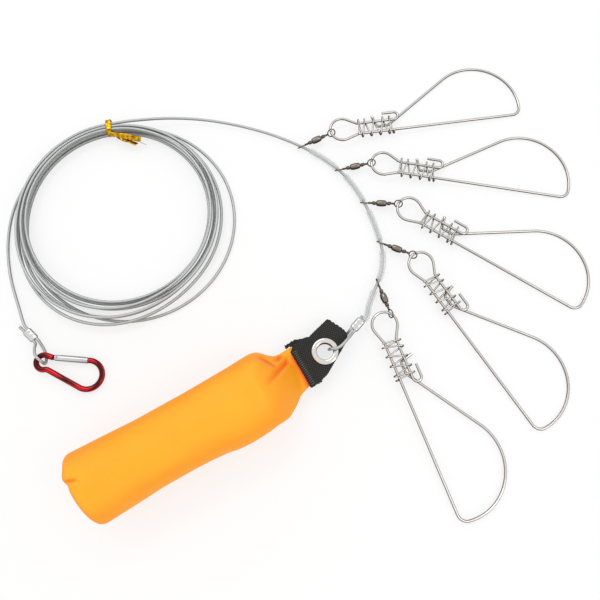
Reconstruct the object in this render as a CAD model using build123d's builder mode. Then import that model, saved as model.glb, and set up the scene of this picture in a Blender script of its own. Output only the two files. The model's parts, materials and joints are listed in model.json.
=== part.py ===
from build123d import *
import os
from math import asin, cos, degrees, dist, pi, radians, sin, sqrt, tan

os.makedirs("parts", exist_ok=True)

# Fish stringer laid out on a table, in millimetres, +Z up.
# Plan points are read on the table and counted from the middle of the layout.
PLAN_MIDDLE = (12.8, 19.7)

# Clearances
FLOOR_GAP = 0.05
LOOSE_GAP = 0.3
SLIP_GAP = 0.08
SEAT_GAP = 0.05

# Coated steel cable
CABLE_D = 2.2
RUN_Z = 3.5
LEAD_Z = 1.15
ARC_SHARE = 0.45

# Coil of stored cable, held by a twist tie
COIL_MIDDLE = (-137.0, 65.4)
COIL_INNER_R = 68.1
COIL_START = 140.0
COIL_END = 108.0
COIL_TURNS = 9
COIL_LAYERS = 4
COIL_STRAND_GAP = 0.5
COIL_LIFT = 0.55
COIL_FAN = 0.65
COIL_FAN_HEADING = -45.0
LOOSE_TURN_BULGE = 10.5
LOOSE_TURN_FROM = 40.0
LOOSE_TURN_TO = 280.0

# Twist tie round the coil
TIE_HEADING = 100.5
TIE_WIDTH = 3.6
TIE_T = 0.4
TIE_SLACK = 1.5
TIE_TAIL_L = 21.0
TIE_TAIL_HEADING = -17.0
TIE_TAIL_SPLAY = 12.0

# Cable route from the coil past the five swivels to the float, by hand
SNAP_RUN = [
    (-139.3, 143.7, 9.75),
    (-112.5, 148.4, 7.2),
    (-82.0, 148.0, 4.4),
    (-48.5, 142.0, 3.7),
    (-16.0, 130.8, RUN_Z),
    (18.4, 113.3, RUN_Z),
    (41.1, 91.2, RUN_Z),
    (56.2, 58.9, RUN_Z),
    (63.5, 27.1, RUN_Z),
    (49.6, -3.5, 5.6),
]
FIRST_STATION_RUN = 4

# Cable route from the coil to the carabiner, by hand
CARABINER_LEAD = [
    (-206.2, 98.6, 1.65),
    (-217.4, 72.5, LEAD_Z),
    (-218.6, 43.5, LEAD_Z),
    (-212.8, 16.0, 1.6),
    (-203.0, -7.0, 2.8),
]

# Crimped oval ferrules
FERRULE_L = 9.0
FERRULE_STRANDS = 2.7
FERRULE_WALL = 0.7
FERRULE_ROUND = 0.8
TAIL_L = 2.6
EYE_LEAD = 2.6

# Clear spacer tubes on the cable
TUBE_OD = 5.0
TUBE_ID = 4.0
TUBE_BEFORE = 3.3
TUBE_AFTER = 5.6
TUBE_TO_FERRULE = 2.0

# Barrel swivels
SWIVEL_SPAN = 25.4
EYE_R = 2.9
EYE_WIRE_D = 0.9
TWIST_D = 2.2
KNOT_D = 3.0
KNOT_L = 3.0
NECK_D = 1.4
HEAD_D = 2.3
HEAD_L = 0.8
BARREL_D = 4.9
BARREL_END_D = 3.4
BARREL_L = 7.6
BARREL_BORE = 2.9
BARREL_END_WALL = 0.9
END_GAP = 0.15

# Wire snaps: every size is along or across the long leg
SNAP_WIRE_D = 1.9
LEG_L = 94.9
NECK_L = 29.0
LEG_SPACING = 8.8
RING_R = 9.1
RING_P = 12.3
RING_Q = 5.4
NECK_BEND_R = 6.0
HOOK_P = 1.0
HOOK_R = 3.1
HOOK_TIP_L = 8.0
CORNER_R = 6.5
CORNER_TURN = 82.6
CURVE_SHARE = 0.372
CURVE_TURN = 130.6
TAIL_Q = 6.3
TAIL_BEND_R = 5.0
TAIL_RUN_L = 5.5
SPIKE_BEND_R = 2.5
SPIKE_TURN = 75.0
SPIKE_L = 7.0
GATE_OPENS = 15.0

# Binding wire round each snap's neck
BIND_WIRE_D = 1.2
BIND_OVERHANG = 1.3
BIND_PITCHES = [3.0, 7.2, 7.2, 7.2, 3.0]
STRAND_SHARE = 0.4

# Each station: swivel heading, tilt of cable eye, tilt of snap eye, place on snap ring, snap heading
STATIONS = [
    (24.0, 25.0, 40.0, 12.0, 8.9),
    (10.5, 25.0, 40.0, 6.0, -8.4),
    (-4.5, 25.0, 40.0, 4.0, -30.8),
    (-24.0, 25.0, 40.0, 4.0, -55.6),
    (-71.0, 6.0, 20.0, -51.0, -68.6),
]

# Carabiner
STOCK_D = 4.0
SMALL_END = (-180.2, -46.7)
SMALL_END_R = 5.2
SMALL_END_Z = 4.75
CARABINER_HEADING = -4.0
BIG_END_R = 10.2
BIG_END_U = 31.3
GATE_V = 3.9
BAR_SLOPE = 24.1
NOTCH_R = 4.0
PIN_U = 8.6
PIN_D = 1.5
GATE_D = 4.4
GATE_BORE = 2.4
GATE_HEEL = 1.3
NOSE_U = 30.6
NOSE_GAP = 0.35
TONGUE_T = 1.6
TONGUE_INSET = 0.3
TONGUE_REACH = 1.5
HEEL_ROOM = 2.9
FORK_L = 2.4
CATCH_L = 2.2
CATCH_T = 1.5
CATCH_H = 2.6
SEAM_W = 0.45
SEAM_DEPTH = 0.3
SPRING_WIRE_D = 0.35
SPRING_TURNS = 6
SPRING_PITCH = 1.0

# Float: sewn cloth cover over a foam core
FLOAT_MOUTH = (0.6, -53.0)
FLOAT_HEADING = 30.2
FLOAT_D = 50.0
FLOAT_L = 164.5
FLOAT_NECK_L = 33.0
FLOAT_WAIST = 0.35
FLOAT_END_R = 8.0
FLOAT_END_CROWN = 2.0
COVER_T = 0.9
FLAT_DEPTH = 0.5
MOUTH_W = 28.0
MOUTH_T = 2.4
MOUTH_SQUARENESS = 0.22
NECK_SHARES = [0.0, 0.15, 0.4, 0.7, 1.0]
SEAM_TONGUE_T = 0.8
SEAM_TONGUE_L = 11.0
CORE_GAP = 0.5

# Webbing strap and its grommet
STRAP_Z = 9.0
WEBBING_T = 1.3
STRAP_FOLD = 3.0
STRAP_OUTLINE = [
    (0.3, -13.4),
    (8.5, -13.0),
    (15.0, -11.2),
    (38.0, 1.8),
    (40.8, 5.5),
    (40.3, 9.8),
    (34.5, 21.8),
    (16.5, 17.2),
    (10.0, 19.2),
    (4.0, 17.6),
    (0.3, 14.2),
]
STRAP_FAR_POINTS = (3, 6)
GROMMET_F = 21.1
GROMMET_G = 2.8
GROMMET_D = 19.0
GROMMET_BORE = 11.8
GROMMET_BARREL_T = 0.6
GROMMET_TOP_T = 1.0
GROMMET_WASHER_T = 0.7

# Cable eyes through the carabiner's small end and the grommet, by hand
FLOAT_FERRULE = ((44.3, -16.4), (37.1, -24.4))
FLOAT_FERRULE_Z = 9.0
FLOAT_EYE = [
    (33.4, -31.6, 12.9),
    (26.6, -39.2, 13.4),
    (18.6, -40.8, 13.4),
    (18.4, -39.6, 4.5),
    (26.0, -35.4, 4.5),
    (33.0, -27.2, 4.6),
]
CARABINER_FERRULE = ((-196.0, -23.2), (-187.6, -31.0))
CARABINER_FERRULE_Z = 4.4
CARABINER_EYE = [
    (-183.4, -35.2, 1.5),
    (-180.2, -40.6, 1.15),
    (-180.0, -47.6, 1.15),
    (-179.6, -47.4, 8.9),
    (-185.6, -42.6, 8.9),
    (-187.0, -37.2, 7.2),
]


def spot(x, y, z):
    """A plan point of the layout at a height, counted from the object's middle."""
    return Vector(x - PLAN_MIDDLE[0], y - PLAN_MIDDLE[1], z)


def heading(angle, rise=0.0):
    """Unit vector along a plan heading, climbing at an angle, both in degrees."""
    flat = cos(radians(rise))
    return Vector(cos(radians(angle)) * flat, sin(radians(angle)) * flat, sin(radians(rise)))


def keep(piece, name):
    """Label a finished piece and write it as a file of its own."""
    piece.label = name
    export_step(piece, f"parts/{name}.step")


def square_to(path):
    """Plane across the start of a path."""
    return Plane(path @ 0, z_dir=path % 0)


def bend_radii(points):
    """Radius at each corner of a route, as large as its two runs allow."""
    radii = []
    for before, corner, after in zip(points, points[1:], points[2:]):
        run = min((corner - before).length, (after - corner).length)
        turn = (corner - before).get_angle(after - corner)
        radii.append(ARC_SHARE * run / tan(radians(turn / 2)))
    return radii


def cord_path(points):
    """Straight runs through a cord's points, joined by tangent arcs."""
    with BuildLine() as path:
        FilletPolyline(*points, radius=bend_radii(points))
    return path.wire()


def biarc(start, start_way, end, end_way):
    """Middle point and heading of the two tangent arcs between two points and headings."""
    chord = end - start
    slack = 2 * (start_way.dot(end_way) - 1)
    pull = -2 * chord.dot(start_way + end_way)
    reach = (-pull - sqrt(pull * pull - 4 * slack * chord.dot(chord))) / (2 * slack)
    middle = (start + end + (start_way - end_way) * reach) / 2
    way = (end - end_way * reach) - (start + start_way * reach)
    return middle, way.normalized()


def wound_path(nodes):
    """Path through points with headings: tangent arcs, or a line where two headings agree."""
    with BuildLine() as path:
        for (start, start_way), (end, end_way) in zip(nodes, nodes[1:]):
            if (end - start).normalized().dot(start_way) > 1 - 1e-9:
                Line(start, end)
            else:
                middle, way = biarc(start, start_way, end, end_way)
                TangentArc(start, middle, tangent=start_way)
                TangentArc(middle, end, tangent=way)
    return path.wire()


def least_gap(path, diameter, samples, apart):
    """Least gap of a wound tube to itself, between points some way apart along it."""
    points = [tuple(p) for p in path.positions([i / samples for i in range(samples + 1)])]
    skip = int(apart / path.length * samples) + 1
    nearest = min(
        dist(points[i], points[j])
        for i in range(len(points))
        for j in range(i + skip, len(points))
    )
    return nearest - diameter


def report_tube(name, piece, path, area):
    """Print a tube's volume against its section times its length."""
    print(f"{name}: length {path.length:.1f}, volume {piece.volume:.1f} of {area * path.length:.1f}")


CABLE_AREA = pi * CABLE_D**2 / 4


# Coil of stored cable


def coil_radius(turned):
    """Distance from the coil's middle after turning so many degrees."""
    layer_turn = (360 * COIL_TURNS + COIL_START - COIL_END) / COIL_LAYERS
    phase = turned / layer_turn
    along = phase % 2
    share = 1 - along if along < 1 else along - 1
    place = share * layer_turn / 360
    fan = 1 + COIL_FAN * (1 + cos(radians(COIL_START - turned - COIL_FAN_HEADING)))
    radius = COIL_INNER_R + place * (CABLE_D + COIL_STRAND_GAP) * fan
    if LOOSE_TURN_FROM < turned < LOOSE_TURN_TO:
        through = (turned - LOOSE_TURN_FROM) / (LOOSE_TURN_TO - LOOSE_TURN_FROM)
        radius += LOOSE_TURN_BULGE * sin(pi * through) ** 2
    return radius


def coil_height(turned):
    """Height of the strand: level in each layer, climbing in the half turn round each reversal."""
    layer_turn = (360 * COIL_TURNS + COIL_START - COIL_END) / COIL_LAYERS
    climbed = 0.0
    for climb in range(1, COIL_LAYERS):
        through = min(max((turned - climb * layer_turn + 90) / 180, 0), 1)
        climbed += through * through * (3 - 2 * through)
    return COIL_LIFT + CABLE_D / 2 + climbed * (CABLE_D + COIL_STRAND_GAP)


def coil_point(turned):
    """Point of the coil after turning clockwise so many degrees."""
    flat = heading(COIL_START - turned) * coil_radius(turned)
    return spot(*COIL_MIDDLE, coil_height(turned)) + flat


COIL_TOTAL = 360 * COIL_TURNS + COIL_START - COIL_END
COIL_STEPS = COIL_LAYERS * round(COIL_TOTAL / COIL_LAYERS / 90)
coil_nodes = []
for step in range(COIL_STEPS + 1):
    turned = COIL_TOTAL * step / COIL_STEPS
    way = (coil_point(turned + 1) - coil_point(turned - 1)).normalized()
    coil_nodes.append((coil_point(turned), way))
lead_way = (coil_nodes[0][0] - spot(*CARABINER_LEAD[0])).normalized()
run_way = (spot(*SNAP_RUN[0]) - coil_nodes[-1][0]).normalized()
coil_nodes[0] = (coil_nodes[0][0], lead_way)
coil_nodes[-1] = (coil_nodes[-1][0], run_way)
coil_nodes.insert(0, (coil_nodes[0][0] - lead_way * CABLE_D, lead_way))
coil_nodes.append((coil_nodes[-1][0] + run_way * CABLE_D, run_way))
coil_path = wound_path(coil_nodes)

with BuildPart() as cable_coil:
    with BuildSketch(square_to(coil_path)):
        Circle(CABLE_D / 2)
    sweep(path=coil_path)
keep(cable_coil.part, "cable_coil")
report_tube("cable_coil", cable_coil.part, coil_path, CABLE_AREA)
print(f"cable_coil least gap {least_gap(coil_path, CABLE_D, 1500, 200.0):.2f}")


# Ferrules, with the strands side by side


class Ferrule:
    """Where a crimped ferrule lies and where its two strands run."""

    def __init__(self, ends, height):
        start, end = spot(*ends[0], height), spot(*ends[1], height)
        self.way = (end - start).normalized()
        self.side = Vector(0, 0, 1).cross(self.way)
        middle = (start + end) / 2
        self.start = middle - self.way * FERRULE_L / 2
        self.end = middle + self.way * FERRULE_L / 2
        self.shift = self.side * FERRULE_STRANDS / 2

    def build(self, name):
        """Oval sleeve with two bores for the cable."""
        across = Plane(self.start, x_dir=self.side, z_dir=self.way)
        with BuildPart() as ferrule:
            with BuildSketch(across):
                SlotCenterToCenter(FERRULE_STRANDS, CABLE_D + 2 * FERRULE_WALL)
            extrude(amount=FERRULE_L)
            fillet(ferrule.faces().filter_by(GeomType.PLANE).sort_by(Axis(self.start, self.way))[0].edges(),
                   FERRULE_ROUND / 2)
            fillet(ferrule.faces().filter_by(GeomType.PLANE).sort_by(Axis(self.start, self.way))[-1].edges(),
                   FERRULE_ROUND / 2)
            with BuildSketch(across):
                with Locations((FERRULE_STRANDS / 2, 0), (-FERRULE_STRANDS / 2, 0)):
                    Circle(CABLE_D / 2 + SEAT_GAP)
            extrude(amount=FERRULE_L, mode=Mode.SUBTRACT)
        keep(ferrule.part, name)

    def eye_points(self, route):
        """Route of the eye: out of one bore, round, and back through the other to a short tail."""
        points = [self.end + self.shift, self.end + self.shift + self.way * EYE_LEAD]
        points += [spot(*point) for point in route]
        points.append(self.end - self.shift + self.way * EYE_LEAD)
        points.append(self.start - self.shift - self.way * TAIL_L)
        return points


float_ferrule = Ferrule(FLOAT_FERRULE, FLOAT_FERRULE_Z)
float_ferrule.build("float_ferrule")
carabiner_ferrule = Ferrule(CARABINER_FERRULE, CARABINER_FERRULE_Z)
carabiner_ferrule.build("carabiner_ferrule")


def cable_tube(name, points):
    """A free stretch of cable along a route; prints its bend radii."""
    path = cord_path(points)
    with BuildPart() as stretch:
        with BuildSketch(square_to(path)):
            Circle(CABLE_D / 2)
        sweep(path=path)
    keep(stretch.part, name)
    report_tube(name, stretch.part, path, CABLE_AREA)
    print(f"{name} radii", [round(radius, 1) for radius in bend_radii(points)])
    return path


# Free stretches: each runs straight through its ferrule, and the eye goes on from the ferrule's end face

run_points = [coil_nodes[-1][0]]
run_points += [spot(*point) for point in SNAP_RUN]
run_points.append(float_ferrule.start + float_ferrule.shift - float_ferrule.way * 2 * CABLE_D)
run_points.append(float_ferrule.end + float_ferrule.shift)
run_path = cable_tube("cable_snap_run", run_points)
cable_tube("float_cable_eye", float_ferrule.eye_points(FLOAT_EYE))

lead_points = [coil_nodes[0][0]]
lead_points += [spot(*point) for point in CARABINER_LEAD]
lead_points.append(carabiner_ferrule.start + carabiner_ferrule.shift - carabiner_ferrule.way * 2 * CABLE_D)
lead_points.append(carabiner_ferrule.end + carabiner_ferrule.shift)
cable_tube("cable_carabiner_lead", lead_points)
cable_tube("carabiner_cable_eye", carabiner_ferrule.eye_points(CARABINER_EYE))


# Twist tie: a flat band round the strands and a folded tail

tie_way = heading(TIE_HEADING - 90)
tie_out = heading(TIE_HEADING)
outer_strand = run_path.position_at(0.0) - spot(*COIL_MIDDLE, 0)
band_inner = COIL_INNER_R - CABLE_D / 2 - LOOSE_GAP
band_outer = Vector(outer_strand.X, outer_strand.Y).length + CABLE_D / 2 + TIE_SLACK
band_top = COIL_LIFT + CABLE_D * COIL_LAYERS + COIL_STRAND_GAP * (COIL_LAYERS - 1) + LOOSE_GAP + TIE_T
band_middle = spot(*COIL_MIDDLE, 0) + tie_out * (band_inner + band_outer) / 2
tie_plane = Plane(band_middle - tie_way * TIE_WIDTH / 2, x_dir=tie_out, z_dir=tie_way)
tail_plane = Plane(
    spot(*COIL_MIDDLE, band_top - CABLE_D / 2 - TIE_WIDTH) + tie_out * (band_inner - TIE_T / 2),
    x_dir=heading(TIE_TAIL_HEADING),
    z_dir=(0, 0, 1),
)
with BuildPart() as twist_tie:
    with BuildSketch(tie_plane):
        with Locations((0, (band_top + FLOOR_GAP) / 2)):
            RectangleRounded(band_outer - band_inner + 2 * TIE_T, band_top - FLOOR_GAP, CABLE_D / 2)
            RectangleRounded(
                band_outer - band_inner,
                band_top - FLOOR_GAP - 2 * TIE_T,
                CABLE_D / 2 - TIE_T,
                mode=Mode.SUBTRACT,
            )
    extrude(amount=TIE_WIDTH)
    with BuildSketch(tail_plane):
        Rectangle(TIE_TAIL_L, 2 * TIE_T, align=(Align.MIN, Align.CENTER))
        Rectangle(TIE_TAIL_L / 2, 2 * TIE_T, rotation=-TIE_TAIL_SPLAY, align=(Align.MIN, Align.CENTER))
    extrude(amount=TIE_WIDTH)
keep(twist_tie.part, "twist_tie")


# Swivel stations, in the middle of the cable's runs, and the spacer tubes between them

stations = []
for before, after in zip(run_points[FIRST_STATION_RUN + 1:], run_points[FIRST_STATION_RUN + 2:-2]):
    stations.append(((before + after) / 2, (after - before).normalized()))
sleeve_spans = []
for (here, _), (there, _) in zip(stations, stations[1:]):
    start = run_path.param_at_point(here) + TUBE_AFTER / run_path.length
    sleeve_spans.append((start, run_path.param_at_point(there) - TUBE_BEFORE / run_path.length))
last_start = run_path.param_at_point(stations[-1][0]) + TUBE_AFTER / run_path.length
sleeve_spans.append((last_start, 1 - (FERRULE_L + TUBE_TO_FERRULE) / run_path.length))

for number, (start, end) in enumerate(sleeve_spans, 1):
    sleeve_path = run_path.trim(start, end)
    with BuildPart() as spacer_tube:
        with BuildSketch(square_to(sleeve_path)):
            Circle(TUBE_OD / 2)
            Circle(TUBE_ID / 2, mode=Mode.SUBTRACT)
        sweep(path=sleeve_path)
    keep(spacer_tube.part, f"spacer_tube_{number}")
    sleeve_area = pi * (TUBE_OD**2 - TUBE_ID**2) / 4
    report_tube(f"spacer_tube_{number}", spacer_tube.part, sleeve_path, sleeve_area)


# Swivels


def swivel_eye(name, centre, way, ring_normal):
    """One end of a swivel: wire eye, twisted shank, knot, and a headed neck inside the barrel."""
    barrel_end = (SWIVEL_SPAN - BARREL_L) / 2
    knot_end = barrel_end - END_GAP
    head_start = barrel_end + BARREL_END_WALL + END_GAP
    profile = Plane(centre, x_dir=way, z_dir=Vector(0, 0, 1).cross(way))
    with BuildPart() as eye:
        with BuildSketch(profile):
            with BuildLine():
                Polyline(
                    (EYE_R, 0),
                    (EYE_R, EYE_WIRE_D / 4),
                    (EYE_R + TWIST_D / 2, TWIST_D / 2),
                    (knot_end - KNOT_L, TWIST_D / 2),
                    (knot_end - KNOT_L, KNOT_D / 2),
                    (knot_end, KNOT_D / 2),
                    (knot_end, NECK_D / 2),
                    (head_start, NECK_D / 2),
                    (head_start, HEAD_D / 2),
                    (head_start + HEAD_L, HEAD_D / 2),
                    (head_start + HEAD_L, 0),
                    close=True,
                )
            make_face()
        revolve(axis=Axis(centre, way))
        with Locations(Plane(centre, x_dir=-way, z_dir=ring_normal)):
            Torus(EYE_R, EYE_WIRE_D / 2)
    keep(eye.part, name)


def swivel_barrel(name, centre, way):
    """Egg-shaped hollow barrel that turns on the two necks."""
    half = BARREL_L / 2
    hole = NECK_D / 2 + SLIP_GAP
    inner = half - BARREL_END_WALL
    with BuildPart() as barrel:
        with BuildSketch(Plane(centre, x_dir=way, z_dir=Vector(0, 0, 1).cross(way))):
            with BuildLine():
                ThreePointArc((-half, BARREL_END_D / 2), (0, BARREL_D / 2), (half, BARREL_END_D / 2))
                Polyline(
                    (half, BARREL_END_D / 2),
                    (half, hole),
                    (inner, hole),
                    (inner, BARREL_BORE / 2),
                    (-inner, BARREL_BORE / 2),
                    (-inner, hole),
                    (-half, hole),
                    (-half, BARREL_END_D / 2),
                )
            make_face()
        revolve(axis=Axis(centre, way))
    keep(barrel.part, name)


# Shapes that every snap shares, counted from the gate's hinge along and across the long leg

TAIL_DROP = SNAP_WIRE_D + BIND_WIRE_D + SEAT_GAP + LOOSE_GAP
FRAME_TILT = degrees(asin(TAIL_DROP / LEG_L))
HINGE_GAP = SNAP_WIRE_D / 2 * sin(radians(GATE_OPENS)) + LOOSE_GAP
NECK_P = -LEG_L - NECK_L
RING_CENTRE = (NECK_P - RING_P, RING_Q)


def flare(across):
    """Angle and length of the tangent from a leg, so far from the ring's middle line, to the ring."""
    reach = sqrt(RING_P**2 + across**2)
    angle = degrees(asin(RING_R / reach)) - degrees(asin(across / reach))
    return angle, sqrt(reach**2 - RING_R**2)


long_flare, long_flare_l = flare(RING_Q)
short_flare, short_flare_l = flare(LEG_SPACING - RING_Q)
long_bend = NECK_BEND_R * tan(radians(long_flare / 2))
short_bend = NECK_BEND_R * tan(radians(short_flare / 2))
with BuildLine() as frame_line:
    leg = Line((-HINGE_GAP, 0), (NECK_P + long_bend, 0))
    leg_bend = JernArc(leg @ 1, leg % 1, NECK_BEND_R, long_flare)
    leg_flare = PolarLine(leg_bend @ 1, long_flare_l - long_bend, direction=leg_bend % 1)
    ring = JernArc(leg_flare @ 1, leg_flare % 1, RING_R, -180 - long_flare - short_flare)
    neck_flare = PolarLine(ring @ 1, short_flare_l - short_bend, direction=ring % 1)
    neck_bend = JernArc(neck_flare @ 1, neck_flare % 1, NECK_BEND_R, short_flare)
    short_leg = Line(neck_bend @ 1, (HOOK_P - LEG_L, LEG_SPACING))
    hook = JernArc(short_leg @ 1, short_leg % 1, HOOK_R, 180)
    hook_tip = PolarLine(hook @ 1, HOOK_TIP_L, direction=hook % 1)
frame_shape = frame_line.wire()

gate_lean = CORNER_TURN + CURVE_TURN - 180
with BuildLine() as gate_line:
    corner = JernArc((0, 0), (1, 0), CORNER_R, CORNER_TURN)
    curve = JernArc(corner @ 1, corner % 1, CURVE_SHARE * LEG_L, CURVE_TURN)
    straight_l = ((curve @ 1).Y - TAIL_Q) / sin(radians(gate_lean))
    straight_l -= TAIL_BEND_R * tan(radians(gate_lean / 2))
    straight = PolarLine(curve @ 1, straight_l, direction=curve % 1)
    tail_bend = JernArc(straight @ 1, straight % 1, TAIL_BEND_R, -gate_lean)
    tail_run = PolarLine(tail_bend @ 1, TAIL_RUN_L, direction=tail_bend % 1)
    spike_bend = JernArc(tail_run @ 1, tail_run % 1, SPIKE_BEND_R, -SPIKE_TURN)
    spike = PolarLine(spike_bend @ 1, SPIKE_L, direction=spike_bend % 1)
gate_shape = gate_line.wire()


def binding_nodes(plane):
    """Points and headings of the binding wire: strands across the legs, turning back beside them."""
    level = SNAP_WIRE_D / 2 + SEAT_GAP + BIND_WIRE_D / 2
    near, far = -BIND_OVERHANG, LEG_SPACING + BIND_OVERHANG
    along = NECK_P
    nodes = []
    for pitch in BIND_PITCHES:
        for q_from, q_to, w in ((near, far, level), (far, near, -level)):
            start = plane.from_local_coords((along, q_from, w))
            end = plane.from_local_coords((along + STRAND_SHARE * pitch, q_to, w))
            way = (end - start).normalized()
            nodes += [(start, way), (end, way)]
            along += pitch / 2
    return nodes


# Five swivels and snaps

hinge_z = SNAP_WIRE_D / 2 + FLOOR_GAP
for number, (station, settings) in enumerate(zip(stations, STATIONS), 1):
    (cable_point, cable_way), (swivel_heading, cable_tilt, snap_tilt, ring_place, snap_heading) = station, settings
    along = heading(snap_heading, -FRAME_TILT)
    across = heading(snap_heading + 90)
    eye_p = RING_CENTRE[0] - RING_R * cos(radians(ring_place))
    eye_q = RING_CENTRE[1] - RING_R * sin(radians(ring_place))
    snap_eye_z = hinge_z - eye_p * sin(radians(FRAME_TILT))
    swivel_way = heading(swivel_heading, degrees(asin((snap_eye_z - RUN_Z) / SWIVEL_SPAN)))
    snap_point = cable_point + swivel_way * SWIVEL_SPAN
    hinge = snap_point - along * eye_p - across * eye_q

    side = Vector(0, 0, 1).cross(swivel_way).normalized()
    cable_normal = side.rotate(Axis((0, 0, 0), swivel_way), cable_tilt)
    snap_normal = side.rotate(Axis((0, 0, 0), swivel_way), -snap_tilt)
    swivel_eye(f"swivel_{number}_cable_eye", cable_point, swivel_way, cable_normal)
    swivel_barrel(f"swivel_{number}_barrel", (cable_point + snap_point) / 2, swivel_way)
    swivel_eye(f"swivel_{number}_snap_eye", snap_point, -swivel_way, snap_normal)

    frame_plane = Plane(hinge, x_dir=along, z_dir=along.cross(across))
    gate_plane = Plane(hinge, x_dir=heading(snap_heading), z_dir=(0, 0, 1))
    frame_path = frame_plane.location * frame_shape
    with BuildPart() as snap_frame:
        with BuildSketch(square_to(frame_path)):
            Circle(SNAP_WIRE_D / 2)
        sweep(path=frame_path)
    keep(snap_frame.part, f"snap_{number}_frame")

    binding_path = wound_path(binding_nodes(frame_plane))
    with BuildPart() as snap_binding:
        with BuildSketch(square_to(binding_path)):
            Circle(BIND_WIRE_D / 2)
        sweep(path=binding_path)
    keep(snap_binding.part, f"snap_{number}_binding")

    gate_path = gate_plane.location * gate_shape
    with BuildPart() as snap_gate:
        with BuildSketch(square_to(gate_path)):
            Circle(SNAP_WIRE_D / 2)
        sweep(path=gate_path)
    keep(snap_gate.part, f"snap_{number}_gate")

    cable_hole = EYE_R * abs(cable_normal.dot(cable_way)) - (CABLE_D + EYE_WIRE_D) / 2
    ring_way = across * cos(radians(ring_place)) - along * sin(radians(ring_place))
    ring_hole = EYE_R * abs(snap_normal.dot(ring_way)) - (SNAP_WIRE_D + EYE_WIRE_D) / 2
    print(f"station {number}: eye on cable {cable_hole:.2f}, eye on ring {ring_hole:.2f}")
print(f"binding least gap {least_gap(binding_path, BIND_WIRE_D, 500, 8.0):.2f}")


# Carabiner, drawn flat from the middle of its small end

big_centre = Vector(BIG_END_U, GATE_V - BIG_END_R)
bar_way = Vector(cos(radians(BAR_SLOPE)), -sin(radians(BAR_SLOPE)))
bar_right = Vector(-sin(radians(BAR_SLOPE)), -cos(radians(BAR_SLOPE)))
bar_offset = big_centre.dot(bar_right) + BIG_END_R
notch_across = bar_offset + NOTCH_R
notch_along = sqrt((SMALL_END_R + NOTCH_R) ** 2 - notch_across**2)
notch_centre = bar_right * notch_across + bar_way * notch_along
notch_heading = degrees(asin(notch_centre.Y / notch_centre.length)) + 90
heel = Vector(PIN_U - HEEL_ROOM, GATE_V)
heel_heading = 180 + degrees(asin(heel.Y / heel.length)) - degrees(asin(SMALL_END_R / heel.length))
heel_l = sqrt(heel.length**2 - SMALL_END_R**2)
with BuildLine() as stock_line:
    heel_run = PolarLine(heel, heel_l, angle=heel_heading)
    small_end = JernArc(heel_run @ 1, heel_run % 1, SMALL_END_R, 360 + notch_heading - heel_heading)
    notch = JernArc(small_end @ 1, small_end % 1, NOTCH_R, -notch_heading - BAR_SLOPE)
    bar = Line(notch @ 1, big_centre + bar_right * BIG_END_R)
    big_end = JernArc(bar @ 1, bar % 1, BIG_END_R, 180 + BAR_SLOPE)
    nose = Line(big_end @ 1, (NOSE_U, GATE_V))
carabiner_drop = SMALL_END_Z - STOCK_D / 2 - FLOOR_GAP
carabiner_slope = degrees(asin(carabiner_drop / (BIG_END_U + BIG_END_R)))
carabiner_along = heading(CARABINER_HEADING, -carabiner_slope)
carabiner_plane = Plane(
    spot(*SMALL_END, SMALL_END_Z),
    x_dir=carabiner_along,
    z_dir=carabiner_along.cross(heading(CARABINER_HEADING + 90)),
)
stock_path = carabiner_plane.location * stock_line.wire()
tongue_h = STOCK_D - 2 * TONGUE_INSET
catch_v = GATE_V + (STOCK_D - CATCH_H) / 4
with BuildPart() as carabiner_body:
    with BuildSketch(square_to(stock_path)):
        Circle(STOCK_D / 2)
    sweep(path=stock_path)
    with BuildSketch(carabiner_plane):
        with Locations((PIN_U, GATE_V)):
            Circle(tongue_h / 2)
            Rectangle(HEEL_ROOM + TONGUE_REACH, tongue_h, align=(Align.MAX, Align.CENTER))
    extrude(amount=TONGUE_T / 2, both=True)
    with BuildSketch(carabiner_plane):
        with Locations((NOSE_U - CATCH_L, catch_v)):
            Rectangle(CATCH_L + TONGUE_REACH, CATCH_H, align=(Align.MIN, Align.CENTER))
    extrude(amount=CATCH_T / 2, both=True)
    with BuildSketch(carabiner_plane):
        with Locations((PIN_U, GATE_V)):
            Circle(PIN_D / 2 + SEAT_GAP / 2)
    extrude(amount=STOCK_D, both=True, mode=Mode.SUBTRACT)
keep(carabiner_body.part, "carabiner_body")

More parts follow.
